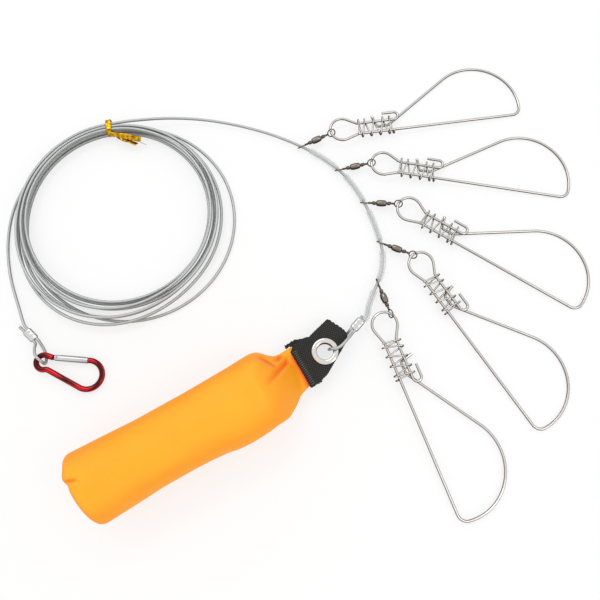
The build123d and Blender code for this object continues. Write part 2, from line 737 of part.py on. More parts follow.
gate_axis = Axis(carabiner_plane.from_local_coords((PIN_U, GATE_V, 0)), carabiner_plane.x_dir)
gate_end = NOSE_U - NOSE_GAP - PIN_U
sleeve_start = Plane(
    carabiner_plane.from_local_coords((PIN_U - GATE_HEEL, GATE_V, 0)),
    x_dir=carabiner_plane.y_dir,
    z_dir=carabiner_plane.x_dir,
)
fork_w = TONGUE_T + 2 * END_GAP
spring_room = SPRING_TURNS * SPRING_PITCH + 4 * SPRING_WIRE_D
with BuildPart() as carabiner_gate:
    with BuildSketch(sleeve_start):
        Circle(GATE_D / 2)
    extrude(amount=GATE_HEEL + gate_end)
    with BuildSketch(sleeve_start.offset(GATE_HEEL + FORK_L - END_GAP)):
        Circle(GATE_BORE / 2)
    extrude(amount=spring_room, mode=Mode.SUBTRACT)
    with BuildSketch(carabiner_plane):
        with Locations((PIN_U + FORK_L, GATE_V)):
            Rectangle(GATE_HEEL + 2 * FORK_L, 2 * GATE_D, align=(Align.MAX, Align.CENTER))
    extrude(amount=fork_w / 2, both=True, mode=Mode.SUBTRACT)
    with BuildSketch(carabiner_plane):
        with Locations((NOSE_U - CATCH_L - NOSE_GAP, catch_v - CATCH_H / 2 - LOOSE_GAP)):
            Rectangle(CATCH_L + NOSE_GAP, GATE_D, align=(Align.MIN, Align.MIN))
    extrude(amount=CATCH_T / 2 + LOOSE_GAP, both=True, mode=Mode.SUBTRACT)
    with BuildSketch(carabiner_plane):
        with Locations((PIN_U, GATE_V)):
            Circle(PIN_D / 2 + SLIP_GAP)
    extrude(amount=GATE_D, both=True, mode=Mode.SUBTRACT)
    with BuildSketch(carabiner_plane.offset(GATE_D / 2 - SEAM_DEPTH)):
        with Locations((PIN_U + FORK_L, GATE_V)):
            Rectangle(gate_end - FORK_L - CATCH_L - NOSE_GAP, SEAM_W, align=(Align.MIN, Align.CENTER))
    extrude(amount=GATE_D, mode=Mode.SUBTRACT)
keep(carabiner_gate.part, "carabiner_gate")

with BuildPart() as carabiner_pin:
    with BuildSketch(carabiner_plane):
        with Locations((PIN_U, GATE_V)):
            Circle(PIN_D / 2)
    extrude(amount=GATE_D / 2, both=True)
keep(carabiner_pin.part, "carabiner_pin")

spring_r = GATE_BORE / 2 - END_GAP - SPRING_WIRE_D / 2
spring_nodes = []
for quarter in range(4 * SPRING_TURNS + 1):
    angle = pi / 2 * quarter
    travel = PIN_U + FORK_L + SPRING_WIRE_D + SPRING_PITCH * quarter / 4
    point = (travel, GATE_V + spring_r * cos(angle), spring_r * sin(angle))
    way = Vector(SPRING_PITCH / (2 * pi), -spring_r * sin(angle), spring_r * cos(angle))
    tip = carabiner_plane.from_local_coords(Vector(point) + way)
    start = carabiner_plane.from_local_coords(point)
    spring_nodes.append((start, (tip - start).normalized()))
spring_path = wound_path(spring_nodes)
with BuildPart() as carabiner_gate_spring:
    with BuildSketch(square_to(spring_path)):
        Circle(SPRING_WIRE_D / 2)
    sweep(path=spring_path)
keep(carabiner_gate_spring.part, "carabiner_gate_spring")


# Float: cover, foam core, strap and grommet, in axes along and across the float

float_r = FLOAT_D / 2
float_axis_z = float_r - FLAT_DEPTH
float_along = heading(FLOAT_HEADING)
float_across = heading(FLOAT_HEADING + 90)
float_mouth = spot(*FLOAT_MOUTH, 0)
float_plane = Plane(float_mouth, x_dir=float_along, z_dir=(0, 0, 1))
float_axis = Axis(float_mouth + Vector(0, 0, float_axis_z), float_along)
side_plane = Plane(float_mouth + Vector(0, 0, float_axis_z), x_dir=float_along, z_dir=-float_across)


def float_half(inset, front):
    """Half outline of the float's round body, drawn in by a wall and starting so far from the mouth."""
    radius = float_r - inset
    end = inset - FLOAT_L
    shoulder = end + FLOAT_END_CROWN + FLOAT_END_R
    edge_r = radius - FLOAT_END_R
    bulge_r = (edge_r**2 + FLOAT_END_CROWN**2) / (2 * FLOAT_END_CROWN)
    slant = FLOAT_END_R * sin(pi / 4)
    with BuildSketch(side_plane) as half:
        with BuildLine():
            Line((-front, 0), (-front, radius))
            ThreePointArc((-front, radius), ((shoulder - front) / 2, radius - FLOAT_WAIST), (shoulder, radius))
            ThreePointArc(
                (shoulder, radius),
                (shoulder - slant, edge_r + slant),
                (shoulder - FLOAT_END_R, edge_r),
            )
            ThreePointArc(
                (shoulder - FLOAT_END_R, edge_r),
                (end + bulge_r - sqrt(bulge_r**2 - edge_r**2 / 4), edge_r / 2),
                (end, 0),
            )
            Line((end, 0), (-front, 0))
        make_face()
    return half.sketch


def oval(back, height, half_w, half_h, squareness):
    """Cross-section of the float's neck: four arcs, each under a half circle."""
    centre = float_plane.from_local_coords((-back, 0, height))
    corner_w, corner_h = half_w * squareness, half_h * sqrt(1 - squareness**2)
    with BuildSketch(Plane(centre, x_dir=float_across, z_dir=float_along)) as section:
        with BuildLine():
            ThreePointArc((-corner_w, corner_h), (0, half_h), (corner_w, corner_h))
            ThreePointArc((corner_w, corner_h), (half_w, 0), (corner_w, -corner_h))
            ThreePointArc((corner_w, -corner_h), (0, -half_h), (-corner_w, -corner_h))
            ThreePointArc((-corner_w, -corner_h), (-half_w, 0), (-corner_w, corner_h))
        make_face()
    return section.sketch


def neck_sections(inset, front):
    """Neck of the cover from the round body down to the flat sewn mouth."""
    sections = []
    for share in NECK_SHARES:
        drawn = share * share * (3 - 2 * share)
        back = front + share * (FLOAT_NECK_L - front)
        half_w = MOUTH_W / 2 + drawn * (float_r - MOUTH_W / 2) - inset
        half_h = MOUTH_T / 2 + drawn * (float_r - MOUTH_T / 2) - inset * share
        height = STRAP_Z + drawn * (float_axis_z - STRAP_Z)
        sections.append(oval(back, height, half_w, half_h, sqrt(0.5) + (1 - drawn) * MOUTH_SQUARENESS))
    return sections


with BuildPart() as float_cover:
    revolve(float_half(0, FLOAT_NECK_L), axis=float_axis)
    loft(neck_sections(0, 0))
    revolve(float_half(COVER_T, FLOAT_NECK_L), axis=float_axis, mode=Mode.SUBTRACT)
    split(bisect_by=Plane.XY, keep=Keep.TOP)
    with BuildSketch(float_plane.offset(STRAP_Z - SEAM_TONGUE_T / 2)):
        Rectangle(SEAM_TONGUE_L, MOUTH_W - 2 * MOUTH_T, align=(Align.MIN, Align.CENTER))
    extrude(amount=SEAM_TONGUE_T)
keep(float_cover.part, "float_cover")

with BuildPart() as float_foam_core:
    revolve(float_half(COVER_T + CORE_GAP, FLOAT_NECK_L + CORE_GAP), axis=float_axis)
keep(float_foam_core.part, "float_foam_core")

layer_gap = SEAM_TONGUE_T + 2 * SEAT_GAP
strap_bottom = STRAP_Z - layer_gap / 2 - WEBBING_T
strap_t = layer_gap + 2 * WEBBING_T
fold_line = [Vector(*STRAP_OUTLINE[index]) for index in STRAP_FAR_POINTS]
fold_way = (fold_line[1] - fold_line[0]).normalized()
fold_in = Vector(0, 0, 1).cross(fold_way)
pocket = [point + fold_in * STRAP_FOLD for point in fold_line]
pocket = [pocket[0] - fold_way * FLOAT_D, pocket[1] + fold_way * FLOAT_D]
pocket += [pocket[1] + fold_in * 2 * FLOAT_D, pocket[0] + fold_in * 2 * FLOAT_D]
with BuildPart() as float_strap:
    with BuildSketch(float_plane.offset(strap_bottom)):
        with BuildLine():
            Polyline(*STRAP_OUTLINE, close=True)
        make_face()
    extrude(amount=strap_t)
    with BuildSketch(float_plane.offset(strap_bottom + WEBBING_T)):
        with BuildLine():
            Polyline(*[(point.X, point.Y) for point in pocket], close=True)
        make_face()
    extrude(amount=layer_gap, mode=Mode.SUBTRACT)
    with BuildSketch(float_plane.offset(strap_bottom)):
        with Locations((GROMMET_F, GROMMET_G)):
            Circle(GROMMET_BORE / 2 + GROMMET_BARREL_T + SEAT_GAP)
    extrude(amount=strap_t, mode=Mode.SUBTRACT)
keep(float_strap.part, "float_strap")

grommet_middle = float_plane.from_local_coords((GROMMET_F, GROMMET_G, 0))
grommet_plane = Plane(grommet_middle, x_dir=float_along, z_dir=-float_across)
grommet_axis = Axis(grommet_middle, (0, 0, 1))
grommet_bore_r = GROMMET_BORE / 2
barrel_r = grommet_bore_r + GROMMET_BARREL_T
flange_z = strap_bottom + strap_t + SEAT_GAP
washer_z = strap_bottom - SEAT_GAP - GROMMET_WASHER_T
with BuildPart() as grommet_eyelet:
    with BuildSketch(grommet_plane):
        with BuildLine():
            Polyline(
                (GROMMET_D / 2, flange_z),
                (barrel_r, flange_z),
                (barrel_r, washer_z),
                (grommet_bore_r, washer_z),
                (grommet_bore_r, flange_z + GROMMET_TOP_T / 2),
            )
            ThreePointArc(
                (grommet_bore_r, flange_z + GROMMET_TOP_T / 2),
                ((grommet_bore_r + GROMMET_D / 2) / 2, flange_z + GROMMET_TOP_T),
                (GROMMET_D / 2, flange_z),
            )
        make_face()
    revolve(axis=grommet_axis)
keep(grommet_eyelet.part, "grommet_eyelet")

with BuildPart() as grommet_washer:
    with BuildSketch(grommet_plane):
        with BuildLine():
            Polyline(
                (barrel_r + SEAT_GAP, washer_z),
                (GROMMET_D / 2, washer_z),
                (GROMMET_D / 2, washer_z + GROMMET_WASHER_T),
                (barrel_r + SEAT_GAP, washer_z + GROMMET_WASHER_T),
                close=True,
            )
        make_face()
    revolve(axis=grommet_axis)
keep(grommet_washer.part, "grommet_washer")
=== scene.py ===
"""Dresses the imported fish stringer: cable, swivels, snaps, carabiner, float and studio, in metres."""
import json
import logging
import math
from dataclasses import dataclass, field
from enum import Enum

import bmesh
import bpy
import numpy as np
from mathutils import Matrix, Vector, noise


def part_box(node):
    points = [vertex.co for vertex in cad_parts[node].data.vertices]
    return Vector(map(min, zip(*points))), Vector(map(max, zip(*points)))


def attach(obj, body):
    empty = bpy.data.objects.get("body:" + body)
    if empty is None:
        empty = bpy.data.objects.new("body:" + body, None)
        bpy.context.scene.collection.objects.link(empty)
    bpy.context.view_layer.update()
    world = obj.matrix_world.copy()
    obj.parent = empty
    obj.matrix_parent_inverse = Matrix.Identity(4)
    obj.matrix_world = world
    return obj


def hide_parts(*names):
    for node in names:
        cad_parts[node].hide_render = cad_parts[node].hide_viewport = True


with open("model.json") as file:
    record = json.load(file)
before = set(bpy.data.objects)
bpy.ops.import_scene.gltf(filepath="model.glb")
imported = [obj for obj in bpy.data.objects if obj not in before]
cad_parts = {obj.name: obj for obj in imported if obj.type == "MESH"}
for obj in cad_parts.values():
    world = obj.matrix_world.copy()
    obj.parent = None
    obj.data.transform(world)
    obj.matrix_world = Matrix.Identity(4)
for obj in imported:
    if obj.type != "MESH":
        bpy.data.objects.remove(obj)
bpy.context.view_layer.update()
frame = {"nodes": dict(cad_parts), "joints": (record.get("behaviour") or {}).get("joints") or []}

LOG = logging.getLogger("fish_stringer")
MM = 0.001
# Middle of the layout in plan, in millimetres, which lies at the row frame's origin.
PLAN_MIDDLE = (12.8, 19.7)
JOINTS = {joint["name"]: joint for joint in frame["joints"]}
UP = Vector((0, 0, 1))
Points = list[Vector]
Tree = bpy.types.NodeTree
Socket = bpy.types.NodeSocket
Piece = bpy.types.Object


def spot(x: float, y: float, z: float = 0.0) -> Vector:
    """A plan point of the layout, given in millimetres, in the row frame."""
    return Vector((x - PLAN_MIDDLE[0], y - PLAN_MIDDLE[1], z)) * MM


def heading(angle: float, rise: float = 0.0) -> Vector:
    """Unit vector along a plan heading that climbs at an angle, both in degrees."""
    flat = math.cos(math.radians(rise))
    turn = math.radians(angle)
    return Vector((math.cos(turn) * flat, math.sin(turn) * flat, math.sin(math.radians(rise))))


def joint_place(name: str) -> tuple[Vector, Vector]:
    """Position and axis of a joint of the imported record."""
    return Vector(JOINTS[name]["pos_m"]), Vector(JOINTS[name]["axis"])


def linear(code: str) -> tuple[float, float, float, float]:
    """An sRGB hex colour as linear values.

    Args:
        code: colour such as "#FFA92B".

    Returns:
        Linear red, green, blue and an alpha of one.
    """
    shares = [int(code[place:place + 2], 16) / 255 for place in (1, 3, 5)]
    return (*[c / 12.92 if c <= 0.04045 else ((c + 0.055) / 1.055) ** 2.4 for c in shares], 1.0)


def add(tree: Tree, kind: str, inputs: dict | None = None, **settings) -> bpy.types.Node:
    """Add a node with its settings and links.

    Args:
        tree: tree that the node goes into.
        kind: the node's type name.
        inputs: values or output sockets for the node's inputs, by name or number.
        settings: the node's own properties.

    Returns:
        The new node.
    """
    made = tree.nodes.new(kind)
    for name, value in settings.items():
        setattr(made, name, value)
    for place, value in (inputs or {}).items():
        if isinstance(value, Socket):
            tree.links.new(value, made.inputs[place])
        else:
            made.inputs[place].default_value = value
    return made


class Pattern(Enum):
    """How a finish varies over its surface."""

    CLOUD = "soft patches through the piece"
    # Painted light: the upper side is painted bright and the flanks darker by height, as if lit from above.
    UPPER = "bright upper side and darker flanks by height"
    # Painted reflection: bands by height stand in for what a shiny round bar mirrors.
    BANDS = "mirror bands that follow a round bar by height"
    # Real streaks along a drawn wire, mixed mostly with painted highlight on upward faces and painted shade
    # on its flanks.
    DRAWN_WITH_PAINTED_HIGHLIGHT = "streaks along a drawn wire, brighter on its crests"
    # Real twisted strands, mixed with painted highlight on upward faces and painted shade on the flanks.
    STRANDS = "twisted strands under a clear coat"
    # Real crossing threads, mixed with painted highlight on upward faces and painted shade on the flanks.
    WEAVE = "crossing threads"


@dataclass(frozen=True)
class Finish:
    """A real material as the eye sees it: two colours, the pattern between them, gloss and relief."""

    name: str
    light: str
    dark: str
    pattern: Pattern
    size: float
    rough: tuple[float, float]
    relief: float
    sockets: tuple = ()
    # Colour of the painted shade in creases, mixed in by the fold attribute.
    fold: str = ""
    threads: float = 0.35
    # Share of the weave and its patches; the rest is painted highlight and painted shade by facing.
    grain: float = 0.5

    def pattern_field(self, tree: Tree) -> Socket:
        """The pattern as a value from nought to one.

        Args:
            tree: the material's node tree.

        Returns:
            Socket that carries the value.
        """
        if self.pattern is Pattern.STRANDS:
            return self.strand_field(tree)
        if self.pattern is Pattern.WEAVE:
            return self.weave_field(tree)
        if self.pattern is Pattern.UPPER:
            # Painted light: brighter with height, as if lit from above.
            place = add(tree, "ShaderNodeTexCoord")
            parts = add(tree, "ShaderNodeSeparateXYZ", {0: place.outputs["Object"]})
            return add(tree, "ShaderNodeMapRange", {
                "Value": parts.outputs["Z"], "From Min": 0.5 * self.size, "From Max": self.size},
                interpolation_type="SMOOTHSTEP").outputs[0]
        if self.pattern is Pattern.BANDS:
            return self.painted_reflection_field(tree)
        if self.pattern is Pattern.DRAWN_WITH_PAINTED_HIGHLIGHT:
            around = add(tree, "ShaderNodeAttribute", attribute_name="around")
            along = add(tree, "ShaderNodeAttribute", attribute_name="along")
            run = add(tree, "ShaderNodeMath", {0: along.outputs["Fac"], 1: 30.0}, operation="MULTIPLY")
            lift = add(tree, "ShaderNodeCombineXYZ", {"Z": run.outputs[0]})
            place = add(tree, "ShaderNodeVectorMath", {0: around.outputs["Vector"], 1: lift.outputs[0]})
            grain = add(tree, "ShaderNodeTexNoise", {"Vector": place.outputs[0], "Scale": 1.7, "Detail": 4.0})
            return self.mix_painted_top_light(tree, grain.outputs["Fac"], 0.2)
        place = add(tree, "ShaderNodeTexCoord")
        grain = add(tree, "ShaderNodeTexNoise",
                    {"Vector": place.outputs["Object"], "Scale": 1 / self.size, "Detail": 4.0})
        return add(tree, "ShaderNodeMapRange",
                   {"Value": grain.outputs["Fac"], "From Min": 0.32, "From Max": 0.68}).outputs[0]

    def mix_painted_top_light(self, tree: Tree, value: Socket, share: float) -> Socket:
        """Mix a pattern with painted light from the piece's own facing attribute, which is one where the
        surface faces up or down and nought on its flanks: painted highlight on top, painted shade on the
        flanks.

        Args:
            tree: the material's node tree.
            value: the pattern.
            share: how much of the pattern shows.

        Returns:
            Socket that carries the mixed value.
        """
        painted_light_facing = add(tree, "ShaderNodeAttribute", attribute_name="painted_light_facing")
        # Painted highlight where the surface faces up or down, painted shade on its flanks.
        painted_highlight_ramp = add(tree, "ShaderNodeMapRange",
                     {"Value": painted_light_facing.outputs["Fac"], "From Min": 0.5, "From Max": 0.98, "To Max": 1 - share},
                     interpolation_type="SMOOTHSTEP")
        part = add(tree, "ShaderNodeMath", {0: value, 1: share}, operation="MULTIPLY")
        both = add(tree, "ShaderNodeMath", {0: painted_highlight_ramp.outputs[0], 1: part.outputs[0]}, operation="ADD")
        return both.outputs[0]

    def strand_field(self, tree: Tree) -> Socket:
        """Slanted light and dark strands that wind round a cable, from its own attributes, mixed with painted
        highlight on upward faces and painted shade on the flanks.
        """
        around = add(tree, "ShaderNodeAttribute", attribute_name="around")
        along = add(tree, "ShaderNodeAttribute", attribute_name="along")
        parts = add(tree, "ShaderNodeSeparateXYZ", {0: around.outputs["Vector"]})
        angle = add(tree, "ShaderNodeMath", {0: parts.outputs["Y"], 1: parts.outputs["X"]},
                    operation="ARCTAN2")
        turns = add(tree, "ShaderNodeMath", {0: along.outputs["Fac"], 1: 2 * math.pi / self.size},
                    operation="MULTIPLY")
        both = add(tree, "ShaderNodeMath", {0: angle.outputs[0], 1: turns.outputs[0]}, operation="ADD")
        strands = add(tree, "ShaderNodeMath", {0: both.outputs[0], 1: 6.0}, operation="MULTIPLY")
        wave = add(tree, "ShaderNodeMath", {0: strands.outputs[0]}, operation="SINE")
        strand = add(tree, "ShaderNodeMapRange", {"Value": wave.outputs[0], "From Min": -1.0})
        return self.mix_painted_top_light(tree, strand.outputs[0], 0.45)

    def painted_reflection_field(self, tree: Tree) -> Socket:
        """Painted reflection: light and dark bands along a lying round bar, one pair for each pattern size of
        height, in place of what the bar mirrors.
        """
        place = add(tree, "ShaderNodeTexCoord")
        parts = add(tree, "ShaderNodeSeparateXYZ", {0: place.outputs["Object"]})
        phase = add(tree, "ShaderNodeMath", {0: parts.outputs["Z"], 1: 2 * math.pi / self.size},
                    operation="MULTIPLY")
        wave = add(tree, "ShaderNodeMath", {0: phase.outputs[0]}, operation="SINE")
        return add(tree, "ShaderNodeMapRange", {"Value": wave.outputs[0], "From Min": -0.7, "From Max": 0.7},
                   interpolation_type="SMOOTHSTEP").outputs[0]

    def weave_field(self, tree: Tree) -> Socket:
        """Plain weave on the piece's own cloth attribute, broken up by soft patches and mixed with painted
        highlight on upward faces and painted shade on the flanks.
        """
        cloth = add(tree, "ShaderNodeAttribute", attribute_name="cloth")
        parts = add(tree, "ShaderNodeSeparateXYZ", {0: cloth.outputs["Vector"]})
        waves = []
        for axis in ("X", "Y"):
            phase = add(tree, "ShaderNodeMath", {0: parts.outputs[axis], 1: 2 * math.pi / self.size},
                        operation="MULTIPLY")
            waves.append(add(tree, "ShaderNodeMath", {0: phase.outputs[0]}, operation="SINE").outputs[0])
        crossed = add(tree, "ShaderNodeMath", {0: waves[0], 1: waves[1]}, operation="MULTIPLY")
        place = add(tree, "ShaderNodeTexCoord")
        patches = add(tree, "ShaderNodeTexNoise",
                      {"Vector": place.outputs["Object"], "Scale": 0.06 / self.size, "Detail": 3.0})
        threads = add(tree, "ShaderNodeMapRange",
                      {"Value": crossed.outputs[0], "From Min": -1.0, "To Max": self.threads})
        soft = add(tree, "ShaderNodeMath", {0: patches.outputs["Fac"], 1: 1 - self.threads},
                   operation="MULTIPLY")
        both = add(tree, "ShaderNodeMath", {0: threads.outputs[0], 1: soft.outputs[0]}, operation="ADD")
        return self.mix_painted_top_light(tree, both.outputs[0], self.grain)

    def material(self) -> bpy.types.Material:
        """The finish as a node material, made once."""
        found = bpy.data.materials.get(self.name)
        if found:
            return found
        made = bpy.data.materials.new(self.name)
        made.use_nodes = True
        tree = made.node_tree
        tree.nodes.clear()
        value = self.pattern_field(tree)
        shade = add(tree, "ShaderNodeMix", {0: value, 6: linear(self.dark), 7: linear(self.light)},
                    data_type="RGBA")
        # Painted shade: a deep red mixed in by the fold attribute where the cloth creases and meets the
        # strap.
        if self.fold:
            depth = add(tree, "ShaderNodeAttribute", attribute_name="fold")
            shade = add(tree, "ShaderNodeMix",
                        {0: depth.outputs["Fac"], 6: shade.outputs[2], 7: linear(self.fold)},
                        data_type="RGBA")
        gloss = add(tree, "ShaderNodeMapRange",
                    {"Value": value, "To Min": self.rough[1], "To Max": self.rough[0]})
        bump = add(tree, "ShaderNodeBump", {"Height": value, "Distance": self.relief})
        shader = add(tree, "ShaderNodeBsdfPrincipled", {
            "Base Color": shade.outputs[2], "Roughness": gloss.outputs[0], "Normal": bump.outputs[0],
            **dict(self.sockets)})
        add(tree, "ShaderNodeOutputMaterial", {"Surface": shader.outputs[0]})
        return made


# Painted shade: a near-black edge tint darkens metal towards its edges, in place of the dark low sides of a
# room that it would mirror.
PAINTED_SHADE_EDGES = (("Metallic", 1.0), ("Specular Tint", (0.02, 0.02, 0.02, 1.0)))
# Steel rope under clear vinyl: grey strands wind slowly under a smooth glossy skin, with painted highlight on
# its upper side and painted shade on its flanks. Lay drawn coarse to show.
CABLE = Finish("vinyl_coated_steel_rope", "#CBCECD", "#6C6F6E", Pattern.STRANDS, 16 * MM, (0.25, 0.4),
               0.02 * MM, (("Metallic", 0.2), ("Coat Weight", 0.5), ("Coat Roughness", 0.12)))
# Drawn stainless wire: faint die lines along it, with painted highlight on its crests and painted shade down
# its flanks.
STAINLESS = Finish("drawn_stainless_wire", "#DCD8D2", "#544E48", Pattern.DRAWN_WITH_PAINTED_HIGHLIGHT, MM, (0.12, 0.26),
                   0.004 * MM, PAINTED_SHADE_EDGES)
# The binding is thinner wire of the same kind, a little duller from being wound, with the same painted
# highlight and painted shade.
BINDING = Finish("wound_stainless_wire", "#D6D1CA", "#4A443E", Pattern.DRAWN_WITH_PAINTED_HIGHLIGHT, MM, (0.14, 0.3),
                 0.004 * MM, PAINTED_SHADE_EDGES)
# Brass under black nickel: dark, with a warm painted highlight on its crests and painted shade on its flanks.
BLACK_NICKEL = Finish("black_nickel_on_brass", "#8E8175", "#15110F", Pattern.DRAWN_WITH_PAINTED_HIGHLIGHT, MM, (0.1, 0.26),
                      0.006 * MM, PAINTED_SHADE_EDGES + (("Coat Weight", 0.4), ("Coat Roughness", 0.08)))
# Soft aluminium pressed by the crimping tool: painted highlight on its crests, painted grey shade on its
# flanks.
CRIMPED = Finish("crimped_aluminium", "#DDDDDB", "#77797A", Pattern.DRAWN_WITH_PAINTED_HIGHLIGHT, MM, (0.2, 0.36), 0.004 * MM, PAINTED_SHADE_EDGES)
# Clear vinyl tube: thin pale walls that let the cable show through, with painted highlight where they face up
# and painted shade on their flanks.
VINYL = Finish("clear_vinyl_tube", "#FBFCFC", "#C6CBCC", Pattern.STRANDS, 400 * MM, (0.06, 0.14), 0.001 * MM,
               (("Alpha", 0.22), ("Coat Weight", 0.6), ("Coat Roughness", 0.06)))
# Foil on a paper-cored tie: yellow gold that turns brown in its creases.
FOIL = Finish("gold_foil_twist_tie", "#FFC730", "#6B3F06", Pattern.CLOUD, 2.6 * MM, (0.12, 0.28), 0.05 * MM,
              (("Metallic", 0.9), ("Specular Tint", (0.4, 0.22, 0.03, 1.0))))
# Aluminium anodised red: a clear deep colour over bright metal, with painted reflection bands by height in
# place of what a round bar mirrors, and a dark red edge tint as painted shade.
RED = Finish("red_anodised_aluminium", "#C4101C", "#48040A", Pattern.BANDS, 1.45 * MM, (0.12, 0.2),
             0.002 * MM, (("Metallic", 0.9), ("Specular Tint", (0.05, 0.0, 0.0, 1.0)), ("Coat Weight", 0.4),
                          ("Coat Roughness", 0.05)))
# Turned aluminium left bright, with painted light: pale on its upper side, grey down its flanks, by height.
BRIGHT = Finish("turned_bright_aluminium", "#CDCDCC", "#6E6F70", Pattern.UPPER, 5.6 * MM, (0.14, 0.26),
                0.002 * MM, PAINTED_SHADE_EDGES)
# Plain steel of small wires and inner parts: grey with faint duller patches.
STEEL = Finish("plain_steel_wire", "#B9B8B5", "#8A8882", Pattern.CLOUD, 0.8 * MM, (0.25, 0.4),
               0.005 * MM, PAINTED_SHADE_EDGES)
# Brass eyelet with bright nickel: mirror-like, with painted highlight on its crest and painted warm grey
# shade on its inner wall and flanks.
NICKEL = Finish("bright_nickel_eyelet", "#E6E0D8", "#6A625A", Pattern.DRAWN_WITH_PAINTED_HIGHLIGHT, MM, (0.06, 0.16),
                0.002 * MM, PAINTED_SHADE_EDGES)
# Coated polyester cloth: bright orange, fine weave drawn coarse to show, with painted highlight on upward
# faces and painted shade on its flanks. Painted red shade lies in its creases and along the strap.
CLOTH = Finish("orange_coated_polyester", "#FFBB2A", "#FF960A", Pattern.WEAVE, 1.1 * MM, (0.45, 0.6),
               0.03 * MM, (("Subsurface Weight", 0.1), ("Subsurface Radius", (0.004, 0.0016, 0.0004)),
                           ("Subsurface Scale", 1.0), ("Specular IOR Level", 0.3)), "#FF4F06")
# Closed-cell foam inside the cover: matt and pale, with a fine uneven skin.
FOAM = Finish("closed_cell_foam", "#F2EFE6", "#D9D4C6", Pattern.CLOUD, 0.9 * MM, (0.8, 0.95), 0.2 * MM)
# Black polyester webbing: matt ribs with dark gaps, and a little painted highlight on upward faces. The ribs
# are drawn coarse to show.
WEBBING = Finish("black_polyester_webbing", "#42423F", "#030303", Pattern.WEAVE, 2.0 * MM, (0.7, 0.9),
                 0.4 * MM, (("Specular IOR Level", 0.2),), threads=0.75, grain=0.92)
# Black sewing thread: slightly shinier than the webbing, with painted highlight on its crests.
THREAD = Finish("black_polyester_thread", "#6E6E6A", "#1C1C1B", Pattern.DRAWN_WITH_PAINTED_HIGHLIGHT, MM, (0.4, 0.55), 0.004 * MM)


@dataclass
class Strand:
    """One line of a swept piece, with the share of the full thickness at each of its points."""

    points: Points
    radii: list[float] = field(default_factory=list)
    closed: bool = False

    def rounded(self, radius: float) -> "Strand":
        """The same line with a dome of this radius on both ends."""
        steps = [math.radians(angle) for angle in (85, 65, 45, 22)]
        first = (self.points[0] - self.points[1]).normalized()
        last = (self.points[-1] - self.points[-2]).normalized()
        front = [self.points[0] + first * radius * math.sin(step) for step in steps]
        back = [self.points[-1] + last * radius * math.sin(step) for step in reversed(steps)]
        dome = [math.cos(step) for step in steps]
        middle = [1.0] * len(self.points)
        return Strand(front + self.points + back, dome + middle + dome[::-1])


